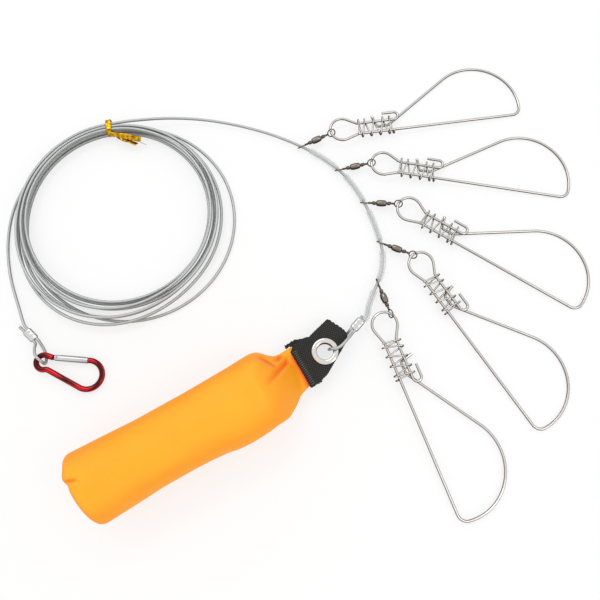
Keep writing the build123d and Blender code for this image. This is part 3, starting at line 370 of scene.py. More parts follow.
class SweepTree:
    """Geometry Nodes tree that carries a round section along every line of a curve."""

    def __init__(self) -> None:
        """Build the tree with named inputs for its sizes."""
        tree = bpy.data.node_groups.new("section_along_path", "GeometryNodeTree")
        face = tree.interface
        face.new_socket("Geometry", in_out="INPUT", socket_type="NodeSocketGeometry")
        self.inputs = {
            label: face.new_socket(label, in_out="INPUT", socket_type=kind).identifier
            for label, kind in (("Diameter", "NodeSocketFloat"), ("Sides", "NodeSocketInt"),
                                ("Capped", "NodeSocketBool"), ("Material", "NodeSocketMaterial"))}
        face.new_socket("Geometry", in_out="OUTPUT", socket_type="NodeSocketGeometry")
        given = add(tree, "NodeGroupInput").outputs
        line = add(tree, "GeometryNodeResampleCurve", {"Curve": given["Geometry"]}, mode="EVALUATED")
        travel = add(tree, "GeometryNodeSplineParameter")
        marked = add(tree, "GeometryNodeStoreNamedAttribute",
                     {"Geometry": line.outputs[0], "Name": "along", "Value": travel.outputs["Length"]})
        ring = add(tree, "GeometryNodeCurvePrimitiveCircle", {"Resolution": given["Sides"], "Radius": 1.0})
        place = add(tree, "GeometryNodeInputPosition")
        section = add(tree, "GeometryNodeStoreNamedAttribute",
                      {"Geometry": ring.outputs[0], "Name": "around"}, data_type="FLOAT_VECTOR")
        tree.links.new(place.outputs[0], section.inputs["Value"])
        half = add(tree, "ShaderNodeMath", {0: given["Diameter"], 1: 0.5}, operation="MULTIPLY")
        scale = add(tree, "ShaderNodeCombineXYZ", {axis: half.outputs[0] for axis in "XYZ"})
        sized = add(tree, "GeometryNodeTransform",
                    {"Geometry": section.outputs[0], "Scale": scale.outputs[0]})
        swept = add(tree, "GeometryNodeCurveToMesh", {
            "Curve": marked.outputs[0], "Profile Curve": sized.outputs[0], "Fill Caps": given["Capped"]})
        # How far each face looks up or down, kept for the materials' painted highlight and painted shade.
        faced = add(tree, "GeometryNodeInputNormal")
        parts = add(tree, "ShaderNodeSeparateXYZ", {0: faced.outputs[0]})
        upward = add(tree, "ShaderNodeMath", {0: parts.outputs["Z"]}, operation="ABSOLUTE")
        painted_light_facing = add(tree, "GeometryNodeStoreNamedAttribute",
                    {"Geometry": swept.outputs[0], "Name": "painted_light_facing", "Value": upward.outputs[0]})
        smooth = add(tree, "GeometryNodeSetShadeSmooth", {"Geometry": painted_light_facing.outputs[0]})
        real = add(tree, "GeometryNodeRealizeInstances", {"Geometry": smooth.outputs[0]})
        dressed = add(tree, "GeometryNodeSetMaterial",
                      {"Geometry": real.outputs[0], "Material": given["Material"]})
        add(tree, "NodeGroupOutput", {"Geometry": dressed.outputs[0]})
        self.tree = tree

    def run(self, name: str, curve: bpy.types.Curve, diameter: float, finish: Finish, sides: int = 12,
            wall: float = 0.0) -> Piece:
        """Sweep a curve and keep the result as a plain mesh.

        Args:
            name: name of the piece.
            curve: lines to follow.
            diameter: thickness where a point's radius is one.
            finish: finish of the piece.
            sides: points round the section.
            wall: wall of a hollow tube, or nought for a solid wire.

        Returns:
            The new piece.
        """
        source = bpy.data.objects.new(name + "_line", curve)
        bpy.context.scene.collection.objects.link(source)
        modifier = source.modifiers.new("sweep", "NODES")
        modifier.node_group = self.tree
        values = {"Diameter": diameter, "Sides": sides, "Capped": wall == 0, "Material": finish.material()}
        for label, value in values.items():
            modifier[self.inputs[label]] = value
        made = plain(source, name)
        if wall:
            shell = made.modifiers.new("wall", "SOLIDIFY")
            shell.thickness = wall
            shell.offset = -1
            made = plain(made, name)
        return made

    def wire(self, name: str, strands: list[Strand], diameter: float, finish: Finish, sides: int = 12,
             wall: float = 0.0) -> Piece:
        """Sweep a set of lines; the arguments are those of run, with strands for the curve."""
        curve = bpy.data.curves.new(name + "_line", "CURVE")
        curve.dimensions = "3D"
        for strand in strands:
            spline = curve.splines.new("POLY")
            spline.points.add(len(strand.points) - 1)
            for index, (knot, point) in enumerate(zip(spline.points, strand.points)):
                knot.co = (*point, 1.0)
                knot.radius = strand.radii[index] if strand.radii else 1.0
            spline.use_cyclic_u = strand.closed
        return self.run(name, curve, diameter, finish, sides, wall)


def plain(source: Piece, name: str) -> Piece:
    """Turn an object with its modifiers into a plain mesh at the origin.

    Args:
        source: object that is used up.
        name: name of the piece.

    Returns:
        The plain piece.
    """
    bpy.context.view_layer.update()
    graph = bpy.context.evaluated_depsgraph_get()
    mesh = bpy.data.meshes.new_from_object(source.evaluated_get(graph), depsgraph=graph)
    bpy.data.objects.remove(source)
    mesh.name = name
    made = bpy.data.objects.new(name, mesh)
    bpy.context.scene.collection.objects.link(made)
    return made


def loft(name: str, rings: np.ndarray, finish: Finish, looped: bool = False) -> Piece:
    """A closed smooth skin over rings of points.

    Args:
        name: name of the piece.
        rings: points as rings by points by three.
        finish: finish of the piece.
        looped: whether the last ring joins the first.

    Returns:
        The new piece.
    """
    count, size = rings.shape[:2]
    faces = []
    for ring in range(count if looped else count - 1):
        near, far = ring * size, (ring + 1) % count * size
        faces += [(near + k, near + (k + 1) % size, far + (k + 1) % size, far + k) for k in range(size)]
    if not looped:
        faces += [tuple(range(size))[::-1], tuple(range((count - 1) * size, count * size))]
    mesh = bpy.data.meshes.new(name)
    mesh.from_pydata(rings.reshape(-1, 3).tolist(), [], faces)
    shell = bmesh.new()
    shell.from_mesh(mesh)
    bmesh.ops.recalc_face_normals(shell, faces=shell.faces)
    for skin in shell.faces:
        skin.smooth = len(skin.verts) == 4
    shell.to_mesh(mesh)
    shell.free()
    mark_facing_for_painted_light(mesh)
    mesh.materials.append(finish.material())
    made = bpy.data.objects.new(name, mesh)
    bpy.context.scene.collection.objects.link(made)
    return made


def mark_facing_for_painted_light(mesh: bpy.types.Mesh) -> None:
    """Note on each point how far its surface faces up or down, for the materials' painted highlight and
    painted shade.
    """
    marks = mesh.attributes.get("painted_light_facing") or mesh.attributes.new("painted_light_facing", "FLOAT", "POINT")
    marks.data.foreach_set("value", [abs(vertex.normal.z) for vertex in mesh.vertices])


def lathe(name: str, profile: list[tuple[float, float]], start: Vector, way: Vector, finish: Finish,
          sides: int = 32) -> Piece:
    """A turned piece: its profile is distances along the axis and radii, in millimetres."""
    side = way.orthogonal().normalized()
    other = way.cross(side)
    rings = [[start + (way * along + (side * math.cos(t) + other * math.sin(t)) * radius) * MM
              for t in np.linspace(0, 2 * math.pi, sides, endpoint=False)] for along, radius in profile]
    return loft(name, np.array(rings), finish)


def settle(piece: Piece, body: str, slot: str, *nodes: str) -> Piece:
    """Ride a piece on its body and put it in the place of its nodes."""
    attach(piece, body)
    if nodes:
        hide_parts(*nodes)
    LOG.info("%s rides on %s", piece.name, body)
    return piece


def dress(node: str, finish: Finish) -> None:
    """Give a CAD node that stays a finish of its own."""
    mesh = frame["nodes"][node].data
    mesh.materials.clear()
    mesh.materials.append(finish.material())
    LOG.info("%s stays", node)


class Trail:
    """Centre line of a bent wire in a flat plane, drawn as runs and bends in millimetres."""

    def __init__(self, start: tuple[float, float], angle: float) -> None:
        """Start at a point, facing along an angle in degrees."""
        self.points = [np.array(start, float)]
        self.angle = angle

    def run(self, length: float) -> "Trail":
        """Go straight on."""
        turn = math.radians(self.angle)
        self.points.append(self.points[-1] + length * np.array((math.cos(turn), math.sin(turn))))
        return self

    def bend(self, radius: float, turn: float) -> "Trail":
        """Turn left by an angle on a radius, or right where the angle is negative."""
        steps = max(2, int(abs(turn) / 5))
        chord = 2 * radius * math.sin(math.radians(abs(turn) / steps / 2))
        for _ in range(steps):
            self.angle += turn / steps / 2
            self.run(chord)
            self.angle += turn / steps / 2
        return self

    def placed(self, origin: Vector, along: Vector, across: Vector) -> Points:
        """The line in the row frame, in a plane with these two directions."""
        return [origin + (along * p + across * q) * MM for p, q in self.points]


@dataclass
class Studio:
    """White table, soft light and the camera at the photograph's view."""

    eye: tuple = (-0.0128, -0.1391, 0.4456)
    pitch: float = 15.0
    lens: float = 37.92
    sensor: float = 36.0
    table_size: float = 6.0
    dome: float = 0.9
    shadow_share: float = 0.32
    lamps: tuple = (
        ((-0.35, 0.6, 1.05), (0.8, 0.25), 1.7),
        ((0.6, -0.35, 1.0), (0.3, 0.7), 1.4),
    )

    def seen(self, tree: Tree) -> Socket:
        """One for camera, glossy and transmission rays, and nought for the rest."""
        path = add(tree, "ShaderNodeLightPath").outputs
        first = add(tree, "ShaderNodeMath", {0: path["Is Camera Ray"], 1: path["Is Glossy Ray"]},
                    operation="MAXIMUM")
        return add(tree, "ShaderNodeMath", {0: first.outputs[0], 1: path["Is Transmission Ray"]},
                   operation="MAXIMUM").outputs[0]

    def build(self) -> None:
        """Make the camera, the world, the table and the lamps."""
        scene = bpy.context.scene
        scene.view_settings.view_transform = "Standard"
        view = bpy.data.cameras.new("photo_view")
        view.lens, view.sensor_width, view.clip_start = self.lens, self.sensor, 0.01
        camera = bpy.data.objects.new("photo_view", view)
        camera.location = self.eye
        camera.rotation_euler = (math.radians(self.pitch), 0, 0)
        scene.collection.objects.link(camera)
        scene.camera = camera
        self.light()
        self.table()

    def light(self) -> None:
        """White dome and soft lamps at a plain level."""
        world = bpy.data.worlds.new("white_studio")
        bpy.context.scene.world = world
        world.use_nodes = True
        tree = world.node_tree
        tree.nodes.clear()
        strength = add(tree, "ShaderNodeMapRange", {"Value": self.seen(tree), "To Min": self.dome})
        sky = add(tree, "ShaderNodeBackground", {"Color": (1, 1, 1, 1), "Strength": strength.outputs[0]})
        add(tree, "ShaderNodeOutputWorld", {"Surface": sky.outputs[0]})
        for place, (width, depth), power in self.lamps:
            lamp = bpy.data.lights.new("softbox", "AREA")
            lamp.shape, lamp.size, lamp.size_y, lamp.energy = "RECTANGLE", width, depth, power
            holder = bpy.data.objects.new("softbox", lamp)
            holder.location = place
            holder.rotation_euler = (-Vector(place)).to_track_quat("-Z", "Y").to_euler()
            bpy.context.scene.collection.objects.link(holder)

    def table(self) -> None:
        """White table that shows the object's shadow."""
        half = self.table_size / 2
        mesh = bpy.data.meshes.new("table")
        corners = [(-half, -half, 0), (half, -half, 0), (half, half, 0), (-half, half, 0)]
        mesh.from_pydata(corners, [], [(0, 1, 2, 3)])
        paint = bpy.data.materials.new("white_table")
        paint.use_nodes = True
        tree = paint.node_tree
        tree.nodes.clear()
        lit = add(tree, "ShaderNodeBsdfDiffuse", {"Color": (0.97, 0.97, 0.97, 1)})
        white = add(tree, "ShaderNodeEmission", {"Strength": 1.0})
        share = add(tree, "ShaderNodeMath", {0: self.seen(tree), 1: 1 - self.shadow_share},
                    operation="MULTIPLY")
        both = add(tree, "ShaderNodeMixShader", {0: share.outputs[0], 1: lit.outputs[0], 2: white.outputs[0]})
        add(tree, "ShaderNodeOutputMaterial", {"Surface": both.outputs[0]})
        mesh.materials.append(paint)
        table = bpy.data.objects.new("table", mesh)
        bpy.context.scene.collection.objects.link(table)


@dataclass
class Ferrule:
    """Crimped oval sleeve that holds two strands of the cable side by side."""

    name: str
    ends: tuple
    height: float
    length: float = 9.0
    strands: float = 2.7
    thickness: float = 3.6
    tail: float = 2.6
    lead: float = 2.6
    run_in: float = 4.4
    marks: tuple = (0.3, 0.7)
    mark_width: float = 0.55
    mark_depth: float = 0.3
    mark_spread: float = 0.08
    edge_r: float = 0.45
    edge_reach: float = 0.7
    sides: int = 32

    def __post_init__(self) -> None:
        """Work out its two end points and where its strands run."""
        first, last = (spot(*end, self.height) for end in self.ends)
        self.way = (last - first).normalized()
        self.side = UP.cross(self.way)
        middle = (first + last) / 2
        self.start = middle - self.way * self.length / 2 * MM
        self.end = middle + self.way * self.length / 2 * MM
        self.shift = self.side * self.strands / 2 * MM

    def inward(self) -> Points:
        """The cable's points on its way in and straight through."""
        first, last = self.start + self.shift, self.end + self.shift
        return [first - self.way * self.run_in * MM, first, last, last + self.way * self.lead * MM]

    def back(self) -> Points:
        """The cable's points on its way back to the cut tail."""
        return [self.end - self.shift + self.way * self.lead * MM, self.end - self.shift,
                self.start - self.shift - self.way * self.tail * MM]

    def build(self) -> Piece:
        """The sleeve with rolled ends and two press marks."""
        rings = []
        for share in (0, 0, 0.03, 0.08, *np.linspace(0.12, 0.88, 27), 0.92, 0.97, 1, 1):
            edge = min(share, 1 - share) * self.length
            round_off = self.edge_r * max(0.0, 1 - edge / self.edge_reach) ** 2
            mark = sum(math.exp(-((share - place) * self.length / self.mark_width) ** 2)
                       for place in self.marks)
            half_h = self.thickness / 2 - round_off - self.mark_depth * mark
            half_w = (self.strands + self.thickness) / 2 - round_off + self.mark_spread * mark
            middle = self.start.lerp(self.end, share)
            ring = []
            for t in np.linspace(0, 2 * math.pi, self.sides, endpoint=False):
                c, s = math.cos(t), math.sin(t)
                wide = math.copysign(abs(c) ** 0.75, c) * half_w
                tall = math.copysign(abs(s) ** 0.8, s) * half_h
                ring.append(middle + (self.side * wide + UP * tall) * MM)
            rings.append(ring)
        sleeve = loft(self.name + "_sleeve", np.array(rings), CRIMPED)
        return settle(sleeve, "cable", "crimp_aluminium", self.name)


@dataclass
class Cable:
    """The coated cable from the float's eye round the coil to the carabiner's eye, and what sits on it."""

    sweep: SweepTree
    diameter: float = 2.2
    coil_middle: tuple = (-137.0, 65.4)
    inner_r: float = 68.1
    start_angle: float = 140.0
    end_angle: float = 108.0
    turns: int = 9
    layers: int = 4
    gap: float = 0.5
    lift: float = 0.55
    fan: float = 0.6
    fan_least: float = 0.82
    fan_heading: float = -55.0
    drawn_in: float = 1.7
    drawn_heading: float = 185.0
    loose_turns: tuple = (
        (40.0, 285.0, 11.5), (1250.0, 1400.0, 5.0), (1620.0, 1755.0, 7.5), (3060.0, 3205.0, 4.5),
        (2690.0, 2830.0, 2.2), (560.0, 690.0, 2.6))
    layer_points: int = 60
    snap_run: tuple = (
        (-138.6, 139.6, 9.9), (-126.0, 141.8, 9.0), (-106.0, 145.2, 6.4), (-79.0, 145.6, 4.4),
        (-48.5, 140.7, 3.7), (-16.0, 130.8, 3.5), (18.4, 113.3, 3.5), (41.1, 91.2, 3.5), (56.2, 58.9, 3.5),
        (63.5, 27.1, 3.5), (49.6, -3.5, 5.6))
    carabiner_lead: tuple = (
        (-206.2, 98.6, 1.65), (-217.4, 72.5, 1.15), (-218.6, 43.5, 1.15), (-212.8, 16.0, 1.6),
        (-203.0, -7.0, 2.8))
    float_eye: tuple = (
        (33.4, -31.6, 13.6), (27.0, -38.4, 14.2), (20.4, -38.8, 14.0), (20.2, -37.8, 4.0), (26.0, -35.4, 3.9),
        (33.0, -27.2, 4.2))
    carabiner_eye: tuple = (
        (-183.4, -35.2, 1.5), (-180.2, -40.6, 1.15), (-180.0, -47.6, 1.15), (-179.6, -47.4, 8.9),
        (-185.6, -42.6, 8.9), (-187.0, -37.2, 7.2))
    length: float = 4.83
    tube_od: float = 5.0
    tube_wall: float = 0.5
    tube_before: float = 3.3
    tube_after: float = 5.6
    tube_last: float = 25.0

    def __post_init__(self) -> None:
        """Place the two ferrules."""
        self.float_ferrule = Ferrule("float_ferrule", ((44.3, -16.4), (37.1, -24.4)), 9.0)
        self.carabiner_ferrule = Ferrule("carabiner_ferrule", ((-196.0, -23.2), (-187.6, -31.0)), 4.4,
                                         tail=5.6)

    @property
    def total_turn(self) -> float:
        """Degrees that the coil turns through."""
        return 360 * self.turns + self.start_angle - self.end_angle

    def coil_point(self, turned: float, stand_off: float) -> Vector:
        """Control point of the coil after turning clockwise so many degrees.

        Args:
            turned: degrees from the coil's start.
            stand_off: share by which the point lies outside the strand, as the line runs inside it.

        Returns:
            The point in the row frame.
        """
        layer_turn = self.total_turn / self.layers
        along = turned / layer_turn % 2
        share = 1 - along if along < 1 else along - 1
        facing = self.start_angle - turned
        fan = self.fan_least + self.fan * (1 + math.cos(math.radians(facing - self.fan_heading)))
        radius = self.inner_r + share * layer_turn / 360 * (self.diameter + self.gap) * fan
        radius -= self.drawn_in * max(0.0, math.cos(math.radians(facing - self.drawn_heading)))
        for first, last, bulge in self.loose_turns:
            if first < turned < last:
                radius += bulge * math.sin(math.pi * (turned - first) / (last - first)) ** 2
        climbed = 0.0
        for climb in range(1, self.layers):
            step = min(max((turned - climb * layer_turn + 90) / 180, 0), 1)
            climbed += step * step * (3 - 2 * step)
        height = self.lift + self.diameter / 2 + climbed * (self.diameter + self.gap)
        return spot(*self.coil_middle, height) + heading(facing) * radius * stand_off * MM

    def route(self) -> Points:
        """All control points, from the cut tail at the float to the cut tail at the carabiner."""
        count = self.layers * self.layer_points
        stand_off = 1 / math.cos(math.radians(self.total_turn / count / 2))
        coil = [self.coil_point(self.total_turn * step / count, stand_off) for step in range(count, -1, -1)]
        near, far = self.float_ferrule, self.carabiner_ferrule
        float_eye, snap_run, lead, carabiner_eye = (
            [spot(*point) for point in points]
            for points in (self.float_eye[::-1], self.snap_run[::-1], self.carabiner_lead,
                           self.carabiner_eye))
        start = near.back()[::-1] + float_eye + near.inward()[::-1] + snap_run
        return start + coil + lead + far.inward() + carabiner_eye + far.back()

    def spline(self, name: str) -> bpy.types.Curve:
        """The route as one open smooth spline."""
        curve = bpy.data.curves.new(name, "CURVE")
        curve.dimensions = "3D"
        line = curve.splines.new("NURBS")
        points = self.route()
        line.points.add(len(points) - 1)
        for knot, point in zip(line.points, points):
            knot.co = (*point, 1.0)
        line.order_u = 3
        line.use_endpoint_u = True
        line.resolution_u = 6
        return curve

    def build(self) -> None:
        """Make the cable, then the sleeves, tubes and tie on it."""
        bare = bpy.data.objects.new("cable_line", self.spline("cable_line"))
        bpy.context.scene.collection.objects.link(bare)
        line = plain(bare, "cable_line")
        path = [vertex.co.copy() for vertex in line.data.vertices]
        bpy.data.objects.remove(line)
        cable = self.sweep.run("coated_cable", self.spline("coated_cable"), self.diameter * MM, CABLE)
        settle(cable, "cable", "coated_cable", "cable_coil", "cable_snap_run", "cable_carabiner_lead",
               "float_cable_eye", "carabiner_cable_eye")
        pieces = [self.float_ferrule.build(), self.carabiner_ferrule.build(), TwistTie(self).build()]
        pieces += self.tubes(path)

    @staticmethod
    def at(path: Points, travel: np.ndarray, way: float) -> Vector:
        """The point of a line after going so far along it."""
        return Vector([np.interp(way, travel, [point[axis] for point in path]) for axis in range(3)])

    def tubes(self, path: Points) -> list[Piece]:
        """Clear spacer tubes on the cable between the swivels.

        Args:
            path: points along the cable from the float.

        Returns:
            The five tubes.
        """
        travel = np.concatenate(([0], np.cumsum([(b - a).length for a, b in zip(path, path[1:])])))
        spots = [joint_place(f"swivel_{n}_swing")[0] for n in range(1, 6)]
        ways = [travel[min(range(len(path)), key=lambda k: (path[k] - place).length)] for place in spots]
        spans = [(ways[n + 1] + self.tube_before * MM, ways[n] - self.tube_after * MM) for n in range(4)]
        spans.append((ways[4] - (self.tube_after + self.tube_last) * MM, ways[4] - self.tube_after * MM))
        made = []
        for number, (low, high) in enumerate(spans, 1):
            stops = (low, *travel[(travel > low) & (travel < high)], high)
            inside = [self.at(path, travel, way) for way in stops]
            tube = self.sweep.wire(f"clear_tube_{number}", [Strand(inside)], self.tube_od * MM, VINYL, 24,
                                   self.tube_wall * MM)
            made.append(settle(tube, "cable", "clear_tube", f"spacer_tube_{number}"))
        return made


@dataclass
class TwistTie:
    """Foil tie: a band round the coil's strands and a crumpled tail of folded leaves with a bare wire."""

    cable: Cable
    turned: float = 98.4
    width: float = 4.2
    thickness: float = 0.4
    clearance: float = 0.3
    outer_r: float = 76.6
    corner_r: float = 1.4
    foot: float = 0.95
    crumple: float = 0.5
    crumple_rate: float = 420.0
    ripple: float = 0.25
    tail_heading: float = -15.0
    tail_length: float = 23.5
    leaf_least: float = 1.3
    leaf_swell: float = 3.1
    wire_d: float = 0.5
    wire_end: tuple = ((-16.0, 3.0), (-12.0, 6.6))

    def ribbon(self, middles: Points, acrosses: Points, widths: list[float], looped: bool) -> np.ndarray:
        """Rings of a thin creased strip.

        Args:
            middles: points along the strip.
            acrosses: direction of its width at each point.
            widths: its width at each point, in millimetres.
            looped: whether it closes on itself.

        Returns:
            The rings for a loft.
        """
        rings = []
        count = len(middles)
        for index, (middle, across, width) in enumerate(zip(middles, acrosses, widths)):
            before = middles[index - 1] if looped or index else middle
            after = middles[(index + 1) % count] if looped or index + 1 < count else middle
            out = (after - before).normalized().cross(across).normalized()
            half, thin = width / 2 * MM, self.thickness / 2 * MM
            steps = np.linspace(-1, 1, 7)
            ring = []
            for v, shares in ((-1, steps), (1, steps[::-1])):
                for u in shares:
                    place = middle + across * half * u
                    crease = self.crumple * noise.noise(place * self.crumple_rate)
                    crease += self.ripple * math.cos(3 * math.pi * u)
                    ring.append(place + out * (thin * v * (1 - 0.4 * u * u) + crease * MM))
            rings.append(ring)
        return np.array(rings)

    def band(self, top: float) -> Piece:
        """The band as a rounded box round all strands, from the floor to a height."""
        cable = self.cable
        inner = cable.inner_r - cable.diameter / 2 - self.clearance
        trail = Trail((inner + self.corner_r, self.foot), 0)
        corners = 2 * self.corner_r
        for length in (self.outer_r - inner - corners, top - corners - self.foot) * 2:
            steps = max(2, int(length / 0.9))
            for _ in range(steps):
                trail.run(length / steps)
            trail.bend(self.corner_r, 90)
        loop = trail.placed(spot(*cable.coil_middle), heading(self.turned), UP)[:-1]
        way = heading(self.turned - 90)
        rings = self.ribbon(loop, [way] * len(loop), [self.width] * len(loop), True)
        return loft("twist_tie_band", rings, FOIL, True)

    def leaf(self, root: Vector, turn: float, length: float, lean: float, drop: float) -> Piece:
        """One leaf of the tail: narrow at the knot, wide in its middle, cut square at its end.

        Args:
            root: where it leaves the band.
            turn: degrees from the tail's heading.
            length: its length in millimetres.
            lean: how it stands about its own line, in degrees.
            drop: how far its end sinks, in millimetres.

        Returns:
            The leaf.
        """
        forward = heading(self.tail_heading + turn)
        side = UP.cross(forward)
        middles, acrosses, widths = [], [], []
        for share in np.linspace(0, 1, 26):
            tip = math.radians(75 * (1 - share) ** 3 + lean * share)
            middles.append(root + (forward * length * share - UP * drop * share) * MM)
            acrosses.append(side * math.cos(tip) + UP * math.sin(tip))
            swell = math.sin(math.pi * min(0.62, 0.1 + 0.75 * share)) ** 2
            widths.append(self.leaf_least + self.leaf_swell * swell)
        return loft("twist_tie_leaf", self.ribbon(middles, acrosses, widths, False), FOIL)

    def build(self) -> Piece:
        """Band, leaves and bare wire as one piece."""
        cable = self.cable
        top = cable.lift + cable.diameter * cable.layers + cable.gap * (cable.layers - 1) + 2 * self.clearance
        root = spot(*cable.coil_middle, top - 2.6) + heading(self.turned) * (cable.inner_r - 2.4) * MM
        root += heading(self.turned - 90) * 1.2 * MM
        leaves = ((3.0, self.tail_length, 25.0, 1.0), (-6.0, self.tail_length - 2.5, -35.0, 3.4))
        shells = [self.band(top)] + [self.leaf(root, *leaf) for leaf in leaves]
        tip = root + (heading(self.tail_heading) * (self.tail_length - 1.5) - UP * 2.0) * MM
        bare = [tip] + [tip + heading(self.tail_heading + turn) * reach * MM for turn, reach in self.wire_end]
        shells.append(cable.sweep.wire("twist_tie_core", [Strand(bare)], self.wire_d * MM, STEEL, 8))
        return settle(joined("foil_twist_tie", shells), "cable", "gold_tie", "twist_tie")


def joined(name: str, pieces: list[Piece]) -> Piece:
    """Several plain pieces as one, each part with its own finish.

    Args:
        name: name of the joined piece.
        pieces: pieces that are used up.

    Returns:
        The joined piece.
    """
    first = pieces[0]
    with bpy.context.temp_override(active_object=first, object=first, selected_editable_objects=pieces):
        bpy.ops.object.join()
    first.name = first.data.name = name
    return first


@dataclass
class Station:
    """One swivel and its wire snap."""

    sweep: SweepTree
    number: int
    cable_tilt: float
    snap_tilt: float
    snap_heading: float
    span: float = 25.4
    eye_r: float = 2.9
    eye_wire: float = 0.9
    barrel_l: float = 7.6
    wire: float = 1.9
    leg: float = 94.9
    neck: float = 29.0
    spacing: float = 8.8
    ring_r: float = 9.1
    ring_p: float = 12.3
    ring_q: float = 5.4
    bind_wire: float = 1.2
    bind_pitches: tuple = (3.0, 7.2, 7.2, 7.2, 3.0)
    bind_reach: float = 1.3
    bind_gap: float = 0.05
    leg_gap: float = 0.35
    bend_r: float = 6.0
    hook_r: float = 3.1
    hook_run: float = 8.0
    hook_gap: float = 1.0
    corner_r: float = 6.5
    corner_turn: float = 82.6
    curve_turn: float = 130.6
    curve_share: float = 0.372
    tail_r: float = 5.0
    tail_q: float = 6.3
    tail_run: float = 5.5
    tip_r: float = 2.5
    tip_turn: float = -75.0
    tip_run: float = 7.0
    twist_r: float = 0.45
    twist_rate: float = 2.6
    twist_share: float = 0.95
    knot_l: float = 3.0
    knot_r: float = 1.02
    knot_turns: float = 2.9

    def build(self) -> None:
        """Make the swivel, then the snap."""
        name = f"swivel_{self.number}"
        start = joint_place(name + "_swing")[0]
        way = joint_place(name + "_barrel_spin")[1].normalized()
        end = joint_place(f"snap_{self.number}_swing")[0]
        side = UP.cross(way).normalized()
        other = way.cross(side)
        ends = (("cable", start, way, self.cable_tilt), ("snap", end, -way, -self.snap_tilt))
        for label, place, ahead, tilt in ends:
            turn = math.radians(tilt)
            across = (side * math.cos(turn) + other * math.sin(turn)).cross(ahead)
            eye = self.eye(f"{name}_{label}_loop", place, ahead, across)
            settle(eye, f"{name}_{label}_end", "dark_brass", f"{name}_{label}_eye")
        half = self.barrel_l / 2
        rim = [(half - 0.12, 1.68), (half, 1.5), (half, 0.8)]
        egg = [(-x, radius) for x, radius in reversed(rim)]
        egg += [(x, 1.7 + 0.75 * (1 - (x / half) ** 2) ** 0.55)
                for x in np.linspace(-half + 0.35, half - 0.35, 19)]
        egg += rim
        barrel = lathe(f"{name}_body", egg, (start + end) / 2, way, BLACK_NICKEL)
        settle(barrel, name + "_barrel", "dark_brass", name + "_barrel")
        self.snap()

    def eye(self, name: str, centre: Vector, way: Vector, across: Vector) -> Piece:
        """Wire eye whose two ends twist together and wind into a knot before the barrel.

        Args:
            name: name of the piece.
            centre: middle of the eye.
            way: direction to the barrel.
            across: direction across the eye in its own plane.

        Returns:
            The eye as one piece.
        """
        lift = way.cross(across)
        knot_end = (self.span - self.barrel_l) / 2 - 0.15
        knot_start = knot_end - self.knot_l
        ring = [centre + (way * math.cos(t) + across * math.sin(t)) * self.eye_r * MM
                for t in np.linspace(0, 2 * math.pi, 33)[:-1]]
        strands = [Strand(ring, closed=True)]

        def beside(x: float, r: float, t: float) -> Vector:
            """A point by the eye's axis, so far along it, out from it and round it."""
            return centre + (way * x + (across * math.cos(t) + lift * math.sin(t)) * r) * MM

        for offset in (0, math.pi):
            twist = [beside(x, self.twist_r, offset + self.twist_rate * (x - self.eye_r))
                     for x in np.linspace(self.eye_r, knot_end + 1.4, 26)]
            strands.append(Strand(twist, [self.twist_share] * len(twist)))
        knot = [beside(knot_start + 0.35 + 2.3 * share, self.knot_r, 2 * math.pi * self.knot_turns * share)
                for share in np.linspace(0, 1, 44)]
        strands.append(Strand(knot).rounded(0.4 * MM))
        return self.sweep.wire(name, strands, self.eye_wire * MM, BLACK_NICKEL, 8)

    def flare(self, across: float) -> tuple[float, float]:
        """Angle and length of the tangent from a leg to the ring."""
        reach = math.hypot(self.ring_p, across)
        angle = math.degrees(math.asin(self.ring_r / reach) - math.asin(across / reach))
        return angle, math.sqrt(reach**2 - self.ring_r**2)

    def snap(self) -> None:
        """Bent frame, gate and binding of the snap."""
        name = f"snap_{self.number}"
        hinge = joint_place(name + "_gate_open")[0]
        drop = self.wire + self.bind_wire + self.leg_gap
        tilt = math.degrees(math.asin(drop / self.leg))
        along, across = heading(self.snap_heading, -tilt), heading(self.snap_heading + 90)
        bend_r = self.bend_r
        long_turn, long_run = self.flare(self.ring_q)
        short_turn, short_run = self.flare(self.spacing - self.ring_q)
        long_bend = bend_r * math.tan(math.radians(long_turn / 2))
        short_bend = bend_r * math.tan(math.radians(short_turn / 2))
        line = Trail((0, 0), 180).run(self.leg + self.neck - long_bend).bend(bend_r, long_turn)
        line.run(long_run - long_bend).bend(self.ring_r, -180 - long_turn - short_turn)
        line.run(short_run - short_bend).bend(bend_r, short_turn)
        line.run(self.hook_gap - self.leg - line.points[-1][0]).bend(self.hook_r, 180).run(self.hook_run)
        strand = Strand(line.placed(hinge, along, across)).rounded(self.wire / 2 * MM)
        bent = self.sweep.wire(name + "_bent_wire", [strand], self.wire * MM, STAINLESS, 14)
        settle(bent, name, "stainless_wire", name + "_frame")

        lean = self.corner_turn + self.curve_turn - 180
        gate = Trail((0, 0), 0).bend(self.corner_r, self.corner_turn)
        gate.bend(self.curve_share * self.leg, self.curve_turn)
        straight = (gate.points[-1][1] - self.tail_q) / math.sin(math.radians(lean))
        gate.run(straight - self.tail_r * math.tan(math.radians(lean / 2))).bend(self.tail_r, -lean)
        gate.run(self.tail_run).bend(self.tip_r, self.tip_turn).run(self.tip_run)
        strand = Strand(gate.placed(hinge, heading(self.snap_heading), across)).rounded(self.wire / 2 * MM)
        spring = self.sweep.wire(name + "_spring_arm", [strand], self.wire * MM, STAINLESS, 14)
        settle(spring, name + "_gate", "stainless_wire", name + "_gate")
        self.binding(name, hinge, along, across)

